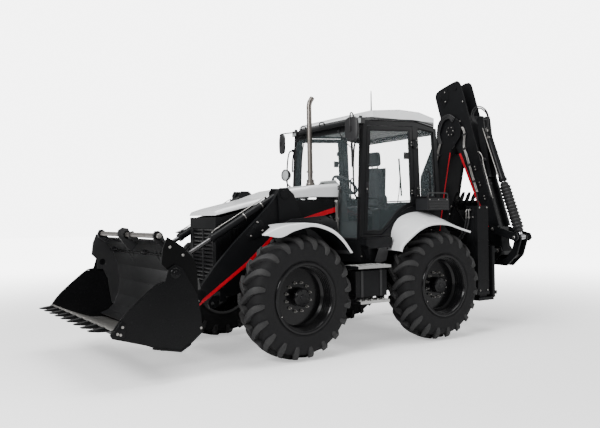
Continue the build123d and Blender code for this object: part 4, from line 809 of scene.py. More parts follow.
# curved steel line over the far cylinder
p = Piece("tilt_lines", "tilt_barrels", "zinc", "worn_steel")
for s in (1, -1):
    A, B = Vector((-0.11, s * 0.443, 1.90)), Vector((1.13, s * 0.443, 1.20))
    D = (B - A).normalized()
    U = Vector((D.z, 0, -D.x)) * -1
    if U.z < 0:
        U = -U
    p.tube([A + D * 0.16 + U * 0.050, A + D * 0.20 + U * 0.066, A + D * 0.55 + U * 0.066, A + D * 0.96 + U * 0.066, A + D * 1.00 + U * 0.050], 0.0062, 8)
    p.lathe([(0.046, -0.008), (0.0505, -0.006), (0.0505, 0.006), (0.046, 0.008)], A + D * 0.55, D, 28)
    p.lathe([(0.046, -0.008), (0.0505, -0.006), (0.0505, 0.006), (0.046, 0.008)], A + D * 0.28, D, 28)
p.done()
p = Piece("tilt_glands", "tilt_barrels", "black", "black_paint")
for s in (1, -1):
    A, B = Vector((-0.11, s * 0.443, 1.90)), Vector((1.13, s * 0.443, 1.20))
    D = (B - A).normalized()
    p.lathe([(0.030, 0.0), (0.034, 0.0), (0.049, 0.004), (0.0525, 0.012), (0.0525, 0.040), (0.048, 0.046)], A + D * 1.016, D, 32)
    for k in (0.17, 0.985):
        U = Vector((-D.z, 0, D.x))
        p.cyl(A + D * k, A + D * k + U * 0.062, 0.013, seg=12, bev=0.002)
p.done()
p = Piece("lift_glands", "lift_barrels", "black", "black_paint")
for s in (1, -1):
    A, B = Vector((-0.4, s * 0.443, 0.545)), Vector((0.262, s * 0.443, 1.502))
    D = (B - A).normalized()
    p.lathe([(0.030, 0.0), (0.034, 0.0), (0.049, 0.004), (0.0525, 0.012), (0.0525, 0.040), (0.048, 0.046)], A + D * 0.966, D, 32)
    U = Vector((-D.z, 0, D.x))
    p.tube([A + D * 0.14 + U * 0.045, A + D * 0.17 + U * 0.062, A + D * 0.88 + U * 0.062, A + D * 0.92 + U * 0.045], 0.007, 8)
p.done()

# ------------------------------------------------------------------ loader bucket
p = Piece("bucket_bolts", "bucket", "zinc", "worn_steel")
for s in (1, -1):
    for x, z in ((1.480, 1.257), (1.396, 0.932), (1.425, 0.60), (1.62, 1.34)):
        p.bolt((x, s * 1.161, z), (0, s, 0), 0.011, 0.008)
    p.lathe([(0.002, 0.018), (0.024, 0.018), (0.028, 0.013), (0.0285, 0.0)], (1.650, s * 0.958, 1.448), (0, s, 0), 24)
p.done()
p = Piece("bucket_brackets", "bucket", "bucket_black", "black_paint")
# welded ears, ribs behind the mouldboard and the pressed ledge
for y in (-1.02, -0.72, 0.0, 0.72, 1.02):
    p.prism([(1.36, 1.02), (1.42, 1.20), (1.49, 1.32), (1.45, 1.325), (1.33, 1.16), (1.30, 1.02), (1.30, 0.90), (1.33, 0.88)], "y",
            y - 0.006, y + 0.006, 0.002)
p.tube([(1.452, -1.14, 1.232), (1.452, 0.0, 1.232), (1.452, 1.14, 1.232)], 0.013, 12, straight=True)
for y0 in (-0.98, 0.06, 0.72):
    p.lathe([(0.002, -0.10), (0.016, -0.09), (0.030, -0.05), (0.034, 0.0), (0.030, 0.05), (0.016, 0.09), (0.002, 0.10)],
            (1.462, y0, 1.246), (0, 1, 0), 20)
for s in (1, -1):
    # collars of the shaft in its outer lugs and the guard's rolled edge
    for y in (0.900, 0.936):
        p.lathe([(0.0278, -0.004), (0.044, -0.004), (0.046, 0.0), (0.044, 0.004), (0.0278, 0.004)], (1.650, s * y, 1.448), (0, 1, 0), 28, closed=True)
    p.lathe([(0.002, 0.012), (0.026, 0.012), (0.034, 0.006), (0.036, -0.002)], (1.258, s * 0.589, 0.872), (0, s, 0), 24)
p.lathe([(0.0278, -0.018), (0.045, -0.018), (0.047, -0.012), (0.047, 0.012), (0.045, 0.018), (0.0278, 0.018)], (1.650, 0.005, 1.448), (0, 1, 0), 28, closed=True)
p.done()
p = Piece("jaw_pivots", "bucket_jaw", "bucket_black", "black_paint")
for s in (1, -1):
    p.lathe([(0.002, 0.016), (0.022, 0.016), (0.027, 0.010), (0.044, 0.009), (0.052, 0.004), (0.056, -0.004)], (1.57, s * 1.188, 1.08), (0, s, 0), 32)
    # folded edge of the side plates, heel shoe and corner wear pads
    p.prism([(1.82, 0.352), (1.52, 0.292), (1.41, 0.355), (1.415, 0.375), (1.525, 0.318), (1.815, 0.378)], "y", s * 1.172, s * 1.192, 0.004)
    p.tube([(2.232, s * 1.176, 0.532), (2.095, s * 1.176, 0.707), (1.795, s * 1.176, 0.960), (1.684, s * 1.176, 0.999)], 0.0075, 8)
    p.prism([(2.236, 0.520), (2.125, 0.662), (2.085, 0.628), (2.10, 0.500), (2.215, 0.494)], "y", s * 1.180, s * 1.195, 0.004)
p.done()
p = Piece("jaw_bolts", "bucket_jaw", "zinc", "worn_steel")
for s in (1, -1):
    for x, z in ((1.300, 0.514), (2.12, 0.60), (2.17, 0.54), (2.14, 0.53)):
        p.bolt((x, s * (1.186 if x < 2 else 1.195), z), (0, s, 0), 0.010, 0.007)
p.done()
# worn plate along the lip and the bolts of the teeth
p = Piece("lip_wear_plate", "bucket_jaw", "worn_plate", "worn_steel")
p.prism([(2.2225, 0.5735), (2.198, 0.5745), (2.042, 0.5015), (1.862, 0.4265), (1.730, 0.3815), (1.530, 0.3645), (1.532, 0.3705),
         (1.728, 0.3875), (1.859, 0.4325), (2.039, 0.5075), (2.196, 0.5805), (2.2225, 0.5795)], "y", -1.16, 1.16, 0.001, 1)
p.done()
p = Piece("tooth_bolts", "bucket_jaw", "steel", "worn_steel")
for i in range(9):
    y = -1.04 + i * 0.25
    for dx in (0.02, 0.075):
        p.bolt((2.222 - dx * 0.9, y + 0.0, 0.5825 - dx * 0.47), (-0.35, 0, 1), 0.012, 0.006)
p.done()

# ------------------------------------------------------------------ cab outside
p = Piece("roof_trim", "chassis", "black", "black_paint")
# visor lip, gutter along both sides and the rear lip
p.prism([(-1.118, 2.812), (-1.112, 2.836), (-1.130, 2.866), (-1.150, 2.862), (-1.140, 2.838), (-1.146, 2.812)], "y", -0.54, 0.54, 0.005)
for s in (1, -1):
    p.tube([(-1.36, s * 0.8005, 2.876), (-1.80, s * 0.8005, 2.893), (-2.12, s * 0.8005, 2.902), (-2.42, s * 0.8005, 2.862)], 0.0075, 8)
    # handles standing on the visor's front edge
for y in (-0.014, -0.456):
    p.tube([(-1.140, y - 0.055, 2.872), (-1.128, y - 0.050, 2.905), (-1.126, y, 2.918), (-1.128, y + 0.050, 2.905), (-1.140, y + 0.055, 2.872)], 0.008, 8)
p.done()
p = Piece("roof_seams", "chassis", "dark_plastic", "black_paint")
# hatch outline and panel joints of the roof
for s in (1, -1):
    p.tube([(-1.50, s * 0.42, 2.9975), (-1.80, s * 0.42, 3.0305), (-2.16, s * 0.42, 3.0225)], 0.0035, 6, step=2)
for x, z in ((-1.50, 2.9980), (-2.16, 3.0225)):
    p.tube([(x, -0.42, z), (x, 0.0, z), (x, 0.42, z)], 0.0035, 6, step=2)
p.done()
p = Piece("roof_lights", "chassis", "dark_plastic", "black_paint")
LAMPS = [(-1.235, 0.735, 2.850, 1), (-1.235, -0.735, 2.850, 1), (-2.520, 0.52, 2.800, -1), (-2.520, -0.52, 2.800, -1)]
for x, y, z, e in LAMPS:
    p.box((x + e * 0.014, y - 0.052, z - 0.040), (x + e * 0.066, y + 0.052, z + 0.034), 0.010, 3)
    p.box((x + e * 0.060, y - 0.055, z - 0.043), (x + e * 0.072, y + 0.055, z + 0.037), 0.005, 2)
    p.box((x + e * 0.022, y - 0.014, z + 0.03), (x + e * 0.056, y + 0.014, z + 0.062), 0.003)
p.done()
p = Piece("roof_lamp_lenses", "chassis", "lamp", "console_plastic")
for x, y, z, e in LAMPS:
    p.box((x + e * 0.068, y - 0.045, z - 0.033), (x + e * 0.0765, y + 0.045, z + 0.027), 0.004, 3)
p.done()
p = Piece("antenna", "chassis", "dark_plastic", "black_paint")
q = Vector((-1.375, 0.735, 2.965))
p.lathe([(0.024, -0.012), (0.024, 0.006), (0.018, 0.016), (0.012, 0.036), (0.0100, 0.040), (0.0075, 0.24), (0.0055, 0.282), (0.001, 0.284)], q, (0, 0, 1), 14)
p.done()


def mirror(name, arm, head, half_y, half_z, tilt):
    """Bent tube from the cab's corner and a round-cornered head that faces rearward."""
    p = Piece(name, "chassis", "dark_plastic", "black_paint")
    p.tube(arm, 0.0095, 10)
    c = Vector(head)
    R = Euler((0, 0, tilt)).to_matrix()
    seg = 36
    rows = []
    for off_, k in ((-0.021, 0.35), (-0.019, 0.80), (-0.012, 0.96), (0.0, 1.0), (0.014, 0.985), (0.022, 0.94), (0.022, 0.86), (0.014, 0.84)):
        ring = []
        for i in range(seg):
            a = 2 * math.pi * i / seg
            cy, cz = math.cos(a), math.sin(a)
            y_ = math.copysign(abs(cy) ** 0.55, cy) * half_y * k
            z_ = math.copysign(abs(cz) ** 0.55, cz) * half_z * k
            ring.append(c + R @ Vector((-off_, y_, z_)))
        rows.append(ring)
    V = [v for ring in rows for v in ring]
    n = len(rows)
    F = [(r_ * seg + i, r_ * seg + (i + 1) % seg, (r_ + 1) * seg + (i + 1) % seg, (r_ + 1) * seg + i)
         for r_ in range(n - 1) for i in range(seg)]
    F += [tuple(range(seg - 1, -1, -1)), tuple(range((n - 1) * seg, n * seg))]
    vs, fs = p.add(V, F)
    bmesh.ops.recalc_face_normals(p.bm, faces=fs)
    p.box(c + Vector((0.014, -0.018, -0.03)), c + Vector((0.034, 0.018, 0.03)), 0.005)
    p.done()
    g = Piece(name + "_glass", "chassis", "mirror", "glass")
    V = []
    for off_, k in ((0.0155, 0.84), (0.0168, 0.82), (0.0172, 0.4)):
        for i in range(seg):
            a = 2 * math.pi * i / seg
            cy, cz = math.cos(a), math.sin(a)
            V.append(c + R @ Vector((-off_, math.copysign(abs(cy) ** 0.55, cy) * half_y * k, math.copysign(abs(cz) ** 0.55, cz) * half_z * k)))
    F = [(r_ * seg + i, r_ * seg + (i + 1) % seg, (r_ + 1) * seg + (i + 1) % seg, (r_ + 1) * seg + i) for r_ in range(2) for i in range(seg)]
    F += [tuple(range(2 * seg, 3 * seg)), tuple(range(seg - 1, -1, -1))]
    vs, fs = g.add(V, F)
    bmesh.ops.recalc_face_normals(g.bm, faces=fs)
    g.done()


mirror("mirror_left", [(-1.19, 0.62, 2.885), (-1.10, 0.70, 2.925), (-0.99, 0.81, 2.925), (-0.935, 0.850, 2.90), (-0.928, 0.853, 2.82), (-0.928, 0.853, 2.72)],
       (-0.95, 0.853, 2.715), 0.108, 0.152, math.radians(8))
mirror("mirror_right", [(-1.20, -0.62, 2.870), (-1.13, -0.72, 2.862), (-1.06, -0.86, 2.858), (-1.015, -0.885, 2.84), (-1.008, -0.870, 2.78), (-1.008, -0.865, 2.70)],
       (-1.03, -0.865, 2.700), 0.100, 0.145, math.radians(-14))
p = Piece("mirror_stay", "chassis", "black", "black_paint")
p.tube([(-1.185, -0.520, 2.80), (-1.135, -0.560, 2.765), (-1.105, -0.625, 2.65), (-1.098, -0.675, 2.50), (-1.100, -0.700, 2.36), (-1.104, -0.705, 2.28)], 0.011, 10)
p.tube([(-1.135, -0.40, 2.80), (-1.108, -0.43, 2.62), (-1.095, -0.46, 2.38), (-1.098, -0.489, 2.10)], 0.007, 8)
p.done()

p = Piece("cab_rails", "chassis", "black", "black_paint")
for s in (1, -1):
    # curved grab rail beside the windscreen and another behind the door
    p.tube([(-1.135, s * 0.745, 2.60), (-1.085, s * 0.755, 2.57), (-1.055, s * 0.760, 2.42), (-1.045, s * 0.760, 2.18), (-1.062, s * 0.757, 1.93), (-1.112, s * 0.745, 1.86)], 0.011, 10)
    p.tube([(-2.30, s * 0.782, 1.865), (-2.30, s * 0.835, 1.880), (-2.30, s * 0.850, 1.94), (-2.30, s * 0.850, 2.16), (-2.30, s * 0.835, 2.215), (-2.30, s * 0.782, 2.225)], 0.011, 10)
    for z in (2.60, 1.86):
        p.cyl((-1.128 if z > 2 else -1.108, s * 0.744, z - 0.001), (-1.150 if z > 2 else -1.125, s * 0.742, z), 0.021, seg=16, bev=0.002)
p.done()

# window gaskets, standing round each pane
p = Piece("window_gaskets", "chassis", "gasket", "black_paint")
for s in (1, -1):
    p.tube([(-1.131, s * 0.722, 1.345), (-1.190, s * 0.722, 2.752)], 0.009, 8, straight=True)
    q = [(-2.197, 1.887), (-2.158, 2.802), (-2.434, 2.769), (-2.483, 1.887)]
    for a, b in zip(q, q[1:] + q[:1]):
        p.tube([(a[0], s * 0.7565, a[1]), (b[0], s * 0.7565, b[1])], 0.008, 8, straight=True)
p.tube([(-1.127, -0.722, 1.343), (-1.127, 0.722, 1.343)], 0.009, 8, straight=True)
p.tube([(-1.190, -0.722, 2.751), (-1.190, 0.722, 2.751)], 0.009, 8, straight=True)
p.tube([(-2.537, -0.722, 1.845), (-2.537, 0.722, 1.845)], 0.009, 8, straight=True)
p.tube([(-2.467, -0.722, 2.742), (-2.467, 0.722, 2.742)], 0.009, 8, straight=True)
for s in (1, -1):
    p.tube([(-2.537, s * 0.722, 1.845), (-2.467, s * 0.722, 2.742)], 0.009, 8, straight=True)
p.done()
p = Piece("wipers", "chassis", "dark_plastic", "black_paint")
p.tube([(-1.178, 0.30, 2.765), (-1.166, 0.40, 2.66), (-1.158, 0.60, 2.50)], 0.006, 8)
p.box((-1.165, 0.585, 2.26), (-1.150, 0.615, 2.70), 0.003, 2, rot=(math.radians(6), math.radians(-2.4), 0))
p.lathe([(0.001, 0.02), (0.016, 0.018), (0.022, 0.0)], (-1.186, 0.30, 2.765), (1, 0, 0), 18)
p.tube([(-2.512, -0.02, 1.80), (-2.548, -0.01, 2.05), (-2.530, 0.02, 2.22)], 0.006, 8)
p.box((-2.556, -0.006, 1.92), (-2.543, 0.016, 2.48), 0.003, 2, rot=(0, math.radians(4.5), 0))
p.done()
p = Piece("panel_seams", "chassis", "gasket", "black_paint")
for s in (1, -1):
    # bolted lower side panel, bead round the rear arch
    p.tube([(-2.550, s * 0.781, 1.815), (-2.35, s * 0.781, 1.815), (-2.12, s * 0.781, 1.815)], 0.004, 6)
    p.tube([(-1.145, s * 0.781, 1.372), (-1.30, s * 0.781, 1.371), (-1.50, s * 0.781, 1.371)], 0.005, 6)
p.done()
p = Piece("panel_bolts", "chassis", "zinc", "worn_steel")
for s in (1, -1):
    for x, z in ((-1.145, 1.30), (-1.145, 1.12), (-1.50, 1.12), (-1.50, 1.30)):
        p.bolt((x, s * 0.780, z), (0, s, 0), 0.009, 0.006)
    for z in (1.896, 1.994, 2.541, 2.639):
        p.bolt((-2.115, s * 0.800, z), (0, s, 0), 0.006, 0.004)
    for x in (-2.46, -2.30, -2.14):
        p.bolt((x, s * 1.000, 1.838), (0, s, 0), 0.007, 0.004)
p.done()

for name, s in (("left", 1), ("right", -1)):
    p = Piece("door_trim_" + name, "door_" + name, "gasket", "black_paint")
    SIGHT = [(-1.253, 1.443), (-1.321, 2.731), (-1.996, 2.764), (-2.027, 1.815), (-1.933, 1.783), (-1.830, 1.731), (-1.739, 1.663),
             (-1.667, 1.588), (-1.608, 1.533), (-1.543, 1.481), (-1.501, 1.443)]
    for a, b in zip(SIGHT, SIGHT[1:] + SIGHT[:1]):
        p.tube([(a[0], s * 0.7655, a[1]), (b[0], s * 0.7655, b[1])], 0.0075, 8, straight=True)
    # latch housing with a pull inside the pane's rear edge, and the outer handle
    p.box((-1.915, s * 0.752, 2.385), (-1.985, s * 0.776, 2.475), 0.010, 3)
    p.box((-1.232, s * 0.777, 1.93), (-1.262, s * 0.792, 2.06), 0.007, 3)
    p.tube([(-1.248, s * 0.788, 1.945), (-1.250, s * 0.803, 1.955), (-1.253, s * 0.804, 2.03), (-1.255, s * 0.788, 2.045)], 0.007, 8)
    # inner pull bar
    p.tube([(-1.33, s * 0.752, 1.72), (-1.335, s * 0.715, 1.73), (-1.60, s * 0.712, 1.75), (-1.86, s * 0.715, 1.80), (-1.865, s * 0.752, 1.80)], 0.010, 10)
    p.done()
    p = Piece("door_latch_" + name, "door_" + name, "zinc", "worn_steel")
    p.lathe([(0.001, 0.010), (0.010, 0.010), (0.0125, 0.006), (0.013, 0.0)], (-1.247, s * 0.791, 1.975), (0, s, 0), 18)
    for z in (1.925, 1.965, 2.570, 2.610):
        p.bolt((-2.015, s * 0.7965, z), (0, s, 0), 0.0065, 0.004)
    p.done()

# ------------------------------------------------------------------ inside the cab
def cushion(name, centre, half, rot, channels, side_seam, ex=0.34, crown=0.018, n=26):
    """Crowned pad: rounded in plan and section, sewn channels across its face and a seam round its side."""
    p = Piece(name, "chassis", "cloth", "seat_fabric")
    R = Euler(rot).to_matrix()
    c = Vector(centre)
    a_, b_, h_ = half
    verts, index, faces = [], {}, []

    def vid(u_, v_, w_):
        key = (round(u_, 5), round(v_, 5), round(w_, 5))
        if key in index:
            return index[key]
        q = Vector((u_, v_, w_))
        m_ = max(abs(u_), abs(v_), abs(w_))
        # between a box and a ball
        e = 5.0
        k = m_ / ((abs(u_) ** e + abs(v_) ** e + abs(w_) ** e) ** (1 / e))
        q = q * k
        x_, y_, z_ = q.x * a_, q.y * b_, q.z * h_
        z_ += math.copysign(crown, q.z) * max(0, 1 - q.x ** 2) * max(0, 1 - q.y ** 2) * (1 if q.z > 0 else 0.15)
        # sides pull in between the corners
        x_ *= 1 - 0.018 * (1 - q.y ** 2) * (1 if abs(q.x) > 0.6 else 0)
        if w_ > 0.5:
            for ch, axis in channels:
                t_ = (q.x * a_ if axis == 0 else q.y * b_) - ch
                z_ -= 0.010 * math.exp(-(t_ / 0.006) ** 2)
        ds = (q.z * h_ - side_seam)
        if abs(u_) > 0.98 or abs(v_) > 0.98:
            pull = 1 - 0.012 * math.exp(-(ds / 0.006) ** 2)
            x_, y_ = x_ * pull, y_ * pull
        verts.append(c + R @ Vector((x_, y_, z_)))
        index[key] = len(verts) - 1
        return index[key]

    for f in range(6):
        for i in range(n):
            for j in range(n):
                q = []
                for (ii, jj) in ((i, j), (i + 1, j), (i + 1, j + 1), (i, j + 1)):
                    s_, t_ = -1 + 2 * ii / n, -1 + 2 * jj / n
                    q.append(vid(*[(s_, t_, 1), (t_, s_, -1), (1, s_, t_), (-1, t_, s_), (t_, 1, s_), (s_, -1, t_)][f]))
                faces.append(tuple(q))
    vs, fs = p.add(verts, faces)
    bmesh.ops.recalc_face_normals(p.bm, faces=fs)
    o = p.done(80)
    return o


seat_parts = [cushion("seat_cushion", (-1.755, 0, 1.690), (0.245, 0.245, 0.062), (0, math.radians(-3), 0),
                      [(-0.135, 1), (0.135, 1), (0.06, 0), (-0.06, 0)], 0.010, crown=0.014)]
seat_parts.append(cushion("seat_backrest", (-2.000, 0, 2.045), (0.275, 0.235, 0.048), (0, math.radians(-84 + 180), 0),
                          [(-0.13, 1), (0.13, 1), (0.08, 0), (-0.08, 0)], -0.006, crown=0.014))
seat_parts.append(cushion("seat_headrest", (-2.045, 0, 2.445), (0.105, 0.125, 0.036), (0, math.radians(-84 + 180), 0), [], 0.0, crown=0.008, n=16))
p = Piece("seat_frame", "chassis", "dark_plastic", "console_plastic")
# folded skirt of the suspension, pan, slides, lever, back shell and rails
for i in range(7):
    z = 1.345 + i * 0.034
    k = 0.012 if i % 2 else 0.0
    p.box((-1.985 + k, -0.150 + k, z), (-1.575 - k, 0.150 - k, z + 0.034), 0.010, 2)
p.box((-2.000, -0.205, 1.585), (-1.520, 0.205, 1.636), 0.012, 3)
for s in (1, -1):
    p.box((-1.96, s * 0.205, 1.60), (-1.56, s * 0.232, 1.628), 0.006)
    p.tube([(-2.03, s * 0.235, 1.69), (-2.06, s * 0.242, 1.80), (-2.06, s * 0.242, 1.90)], 0.012, 10)
    # armrests
    p.box((-2.01, s * 0.232, 1.865), (-1.70, s * 0.249, 1.885), 0.006)
    p.tube([(-2.06, s * 0.060, 2.26), (-2.065, s * 0.060, 2.34), (-2.068, s * 0.060, 2.42)], 0.007, 8)
p.prism([(-2.045, 1.72), (-2.030, 1.73), (-2.062, 2.31), (-2.080, 2.31), (-2.086, 2.28), (-2.060, 1.75)], "y", -0.215, 0.215, 0.006, 3)
p.tube([(-1.54, 0.15, 1.615), (-1.505, 0.15, 1.606), (-1.503, 0.0, 1.604), (-1.505, -0.15, 1.606), (-1.54, -0.15, 1.615)], 0.007, 8)
o = p.done()
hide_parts("seat")
for q in seat_parts:
    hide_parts("seat")

p = Piece("instrument_pod", "chassis", "pod", "console_plastic")
# hooded instrument cluster
p.prism([(-1.300, 1.955), (-1.185, 1.955), (-1.180, 2.105), (-1.205, 2.125), (-1.300, 2.030)], "y", -0.150, 0.185, 0.012, 3)
p.done()
p = Piece("dash_details", "chassis", "dark_plastic", "console_plastic")
p.lathe([(0.031, 0.0), (0.031, 0.05), (0.036, 0.09), (0.040, 0.10), (0.001, 0.104)], (-1.455, 0, 2.000), (-110, 0, 140), 20)
p.tube([(-1.45, 0.03, 2.01), (-1.455, 0.12, 2.03), (-1.465, 0.185, 2.035)], 0.006, 8)
p.tube([(-1.45, -0.03, 2.01), (-1.455, -0.12, 2.03), (-1.465, -0.185, 2.035)], 0.006, 8)
for y in (0.14, 0.07):
    p.box((-1.44, y - 0.028, 1.345), (-1.50, y + 0.028, 1.352), 0.002, 2, rot=(0, math.radians(-38), 0))
p.done()
p = Piece("cab_controls", "chassis", "dark_plastic", "console_plastic")
# side consoles with joysticks, loader lever, park brake
for s in (1, -1):
    p.box((-2.02, s * 0.315, 1.335), (-1.73, s * 0.455, 1.70), 0.018, 3)
    p.box((-2.00, s * 0.325, 1.700), (-1.75, s * 0.445, 1.712), 0.006, 2)
    for x in (-1.80, -1.93):
        p.lathe([(0.030, 0.0), (0.028, 0.010), (0.022, 0.016), (0.020, 0.026), (0.012, 0.034), (0.008, 0.045), (0.007, 0.13), (0.015, 0.145), (0.019, 0.175), (0.016, 0.205), (0.001, 0.214)],
                (x, s * 0.385, 1.71), (0.12, 0, 1), 18)
p.tube([(-1.62, -0.34, 1.335), (-1.61, -0.34, 1.52), (-1.57, -0.33, 1.70)], 0.011, 10)
p.lathe([(0.001, 0.05), (0.018, 0.045), (0.024, 0.02), (0.018, 0.0), (0.01, -0.006)], (-1.568, -0.33, 1.69), (0.2, 0, 1), 18)
p.done()
p = Piece("roof_lining", "chassis", "lining", "console_plastic")
p.prism([(-1.265, 2.812), (-1.62, 2.829), (-1.62, 2.842), (-1.262, 2.828)], "y", -0.715, 0.715, 0.006, 2)
p.prism([(-1.72, 2.830), (-2.10, 2.848), (-2.38, 2.800), (-2.385, 2.816), (-2.10, 2.868), (-1.72, 2.846)], "y", -0.715, 0.715, 0.006, 2)
p.box((-1.30, -0.16, 2.752), (-1.46, 0.16, 2.822), 0.014, 3)
p.done()
p = Piece("cab_liners", "chassis", "console", "console_plastic")
for s in (1, -1):
    p.box((-2.50, s * 0.604, 1.56), (-2.12, s * 0.728, 1.80), 0.016, 3)
p.box((-2.520, -0.55, 1.562), (-2.40, 0.55, 1.80), 0.016, 3)
p.box((-1.175, -0.70, 1.345), (-1.215, -0.24, 1.56), 0.012, 3)
p.box((-1.175, 0.24, 1.345), (-1.215, 0.70, 1.56), 0.012, 3)
p.done()
p = Piece("floor_ribs", "chassis", "mat", "floor_mat")
for i in range(15):
    y = -0.655 + i * 0.0936
    if abs(y) < 0.24:
        p.box((-1.43, y - 0.009, 1.3295), (-1.67, y + 0.009, 1.336), 0.002)
    else:
        p.box((-1.23, y - 0.009, 1.3295), (-1.67, y + 0.009, 1.336), 0.002)
p.done()

# ------------------------------------------------------------------ behind the hood, below the cab, steps
p = Piece("hood_rear_hoses", "chassis", "hose", "floor_mat")
for dx, dz in ((0.0, 0.0), (-0.022, -0.03)):
    p.tube([(-1.105, 0.340, 2.020 + dz), (-1.125 + dx * 0.2, 0.375, 2.010 + dz), (-1.095, 0.395, 1.90), (-1.090, 0.385, 1.72), (-1.100, 0.372, 1.58)], 0.012, 10)
p.tube([(-0.985, 0.345, 1.64), (-1.00, 0.375, 1.58), (-1.01, 0.378, 1.44), (-1.02, 0.372, 1.27)], 0.010, 10)
p.done()
p = Piece("hood_rear_pipes", "chassis", "zinc", "worn_steel")
for k in range(2):
    p.tube([(-1.055 - 0.024 * k, 0.350, 1.84), (-1.058 - 0.024 * k, 0.372, 1.82), (-1.062 - 0.024 * k, 0.374, 1.62), (-1.066 - 0.024 * k, 0.372, 1.40)], 0.0085, 10)
for z in (1.80, 1.60, 1.42):
    p.box((-1.045, 0.360, z - 0.012), (-1.098, 0.388, z + 0.012), 0.003)
p.done()
p = Piece("mud_flaps", "chassis", "hose", "floor_mat")
for s in (1, -1):
    p.prism([(-1.300, 1.210), (-1.440, 1.215), (-1.462, 1.180), (-1.425, 1.062), (-1.300, 1.030), (-1.235, 1.060)], "y", s * 0.925, s * 0.933, 0.003)
    p.prism([(-1.300, 1.210), (-1.440, 1.215), (-1.440, 1.228), (-1.300, 1.223)], "y", s * 0.900, s * 0.935, 0.002)
    p.prism([(-0.652, 1.24), (-0.652, 1.185), (-0.660, 1.18), (-0.662, 1.24)], "y", s * 0.80, s * 1.16, 0.001, 1)
p.done()
p = Piece("step_treads", "chassis", "alu", "worn_steel")
for s in (1, -1):
    for (x0, x1, y0, y1, z) in ((-1.325, -0.805, 0.865, 1.125, 1.024), (-1.295, -0.835, 0.905, 1.125, 0.600)):
        p.box((x0, s * y0, z - 0.001), (x1, s * y1, z + 0.004), 0.002)
        nx = int((x1 - x0) / 0.042)
        for i in range(nx):
            for j in range(4):
                x = x0 + 0.025 + i * (x1 - x0 - 0.05) / (nx - 1)
                y = y0 + 0.03 + j * (y1 - y0 - 0.06) / 3
                rr = math.radians(45 if (i + j) % 2 else -45)
                p.box((x - 0.013, s * y - 0.0035, z + 0.003), (x + 0.013, s * y + 0.0035, z + 0.008), 0.0015, 1, rot=(0, 0, rr))
        # folded front edge
        p.box((x0, s * (y1 + 0.001), z - 0.031), (x1, s * (y1 + 0.0055), z + 0.003), 0.002)
p.done()
p = Piece("tank_details", "chassis", "dark_plastic", "black_paint")
for s in (1, -1):
    # straps and filler cap of the tanks
    for x in (-1.23, -0.93):
        p.box((x - 0.018, s * 0.37, 0.957), (x + 0.018, s * 1.043, 0.964), 0.002)
        p.box((x - 0.018, s * 1.038, 0.638), (x + 0.018, s * 1.046, 0.962), 0.002)
    p.lathe([(0.030, 0.0), (0.044, 0.004), (0.046, 0.028), (0.040, 0.034), (0.001, 0.036)], (-0.875, s * 0.80, 0.958), (0, 0, 1), 28)
p.done()
p = Piece("frame_bolts", "chassis", "zinc", "worn_steel")
for s in (1, -1):
    for x in (-0.22, -0.08):
        for z in (0.86, 1.02):
            p.bolt((x, s * 0.596, z), (0, s, 0), 0.012, 0.009)
    for x in (-0.12,):
        p.bolt((x, s * 0.596, 1.22), (0, s, 0), 0.012, 0.009)
for c, x, s in CORNERS:
    for dx in (-0.05, 0.05):
        p.bolt((x + dx, s * 0.745, 0.843), (0, 0, 1), 0.008, 0.006, washer=False)
p.done()
p = Piece("vent_louvres", "chassis", "dark_plastic", "black_paint")
for s in (1, -1):
    for i in range(6):
        z = 1.716 + i * 0.0205
        p.box((-2.48, s * 1.000, z), (-2.12, s * 1.008, z + 0.011), 0.003, 2, rot=(s * math.radians(-14), 0, 0))
    p.box((-2.50, s * 0.80, 1.850), (-2.10, s * 1.00, 1.857), 0.003)
    # grab rail above the box
    p.tube([(-2.12, s * 0.99, 1.855), (-2.12, s * 0.99, 1.905), (-2.16, s * 0.99, 1.925), (-2.44, s * 0.99, 1.925), (-2.48, s * 0.99, 1.905), (-2.48, s * 0.99, 1.855)], 0.009, 10)
p.done()
p = Piece("rear_lamps", "chassis", "lamp_red", "console_plastic")
for s in (1, -1):
    p.box((-2.499, s * 0.86, 1.735), (-2.507, s * 0.96, 1.80), 0.003, 3)
p.done()

# ------------------------------------------------------------------ rear frame and stabilisers
p = Piece("stabiliser_details", "chassis", "black", "black_paint")
for s in (1, -1):
    # wear collars, top cap, hose guard
    p.box((-3.242, s * 0.842, 0.514), (-3.006, s * 1.046, 0.560), 0.006)
    p.box((-3.240, s * 0.844, 1.722), (-3.008, s * 1.044, 1.756), 0.006)
    p.box((-3.008, s * 0.90, 0.62), (-3.001, s * 0.99, 1.66), 0.003)
    for z in (0.70, 0.98, 1.26, 1.54):
        p.box((-3.238, s * 1.038, z), (-3.010, s * 1.0445, z + 0.016), 0.003)
p.done()
p = Piece("mast_fittings", "chassis", "zinc", "worn_steel")
for s in (1, -1):
    for k in range(2):
        y = 0.885 + 0.045 * k
        p.cyl((-3.004, s * y, 1.700), (-2.982, s * y, 1.700), 0.015, seg=6, bev=0.002)
        p.tube([(-2.984, s * y, 1.700), (-2.968, s * y, 1.694), (-2.966, s * y, 1.660), (-2.966, s * y, 1.610)], 0.010, 10)
        p.cyl((-2.966, s * y, 1.612), (-2.966, s * y, 1.580), 0.0145, seg=6, bev=0.002)
p.done()
p = Piece("mast_hoses", "chassis", "hose", "floor_mat")
for s in (1, -1):
    for k in range(2):
        y = 0.885 + 0.045 * k
        p.tube([(-2.966, s * y, 1.585), (-2.958, s * (y - 0.01), 1.50), (-2.955, s * (y - 0.05), 1.40), (-2.965, s * (y - 0.14), 1.30), (-2.985, s * (y - 0.24), 1.24),
                (-3.02, s * (y - 0.32), 1.19)], 0.0115, 10)
p.done()
p = Piece("rear_bolts", "chassis", "zinc", "worn_steel")
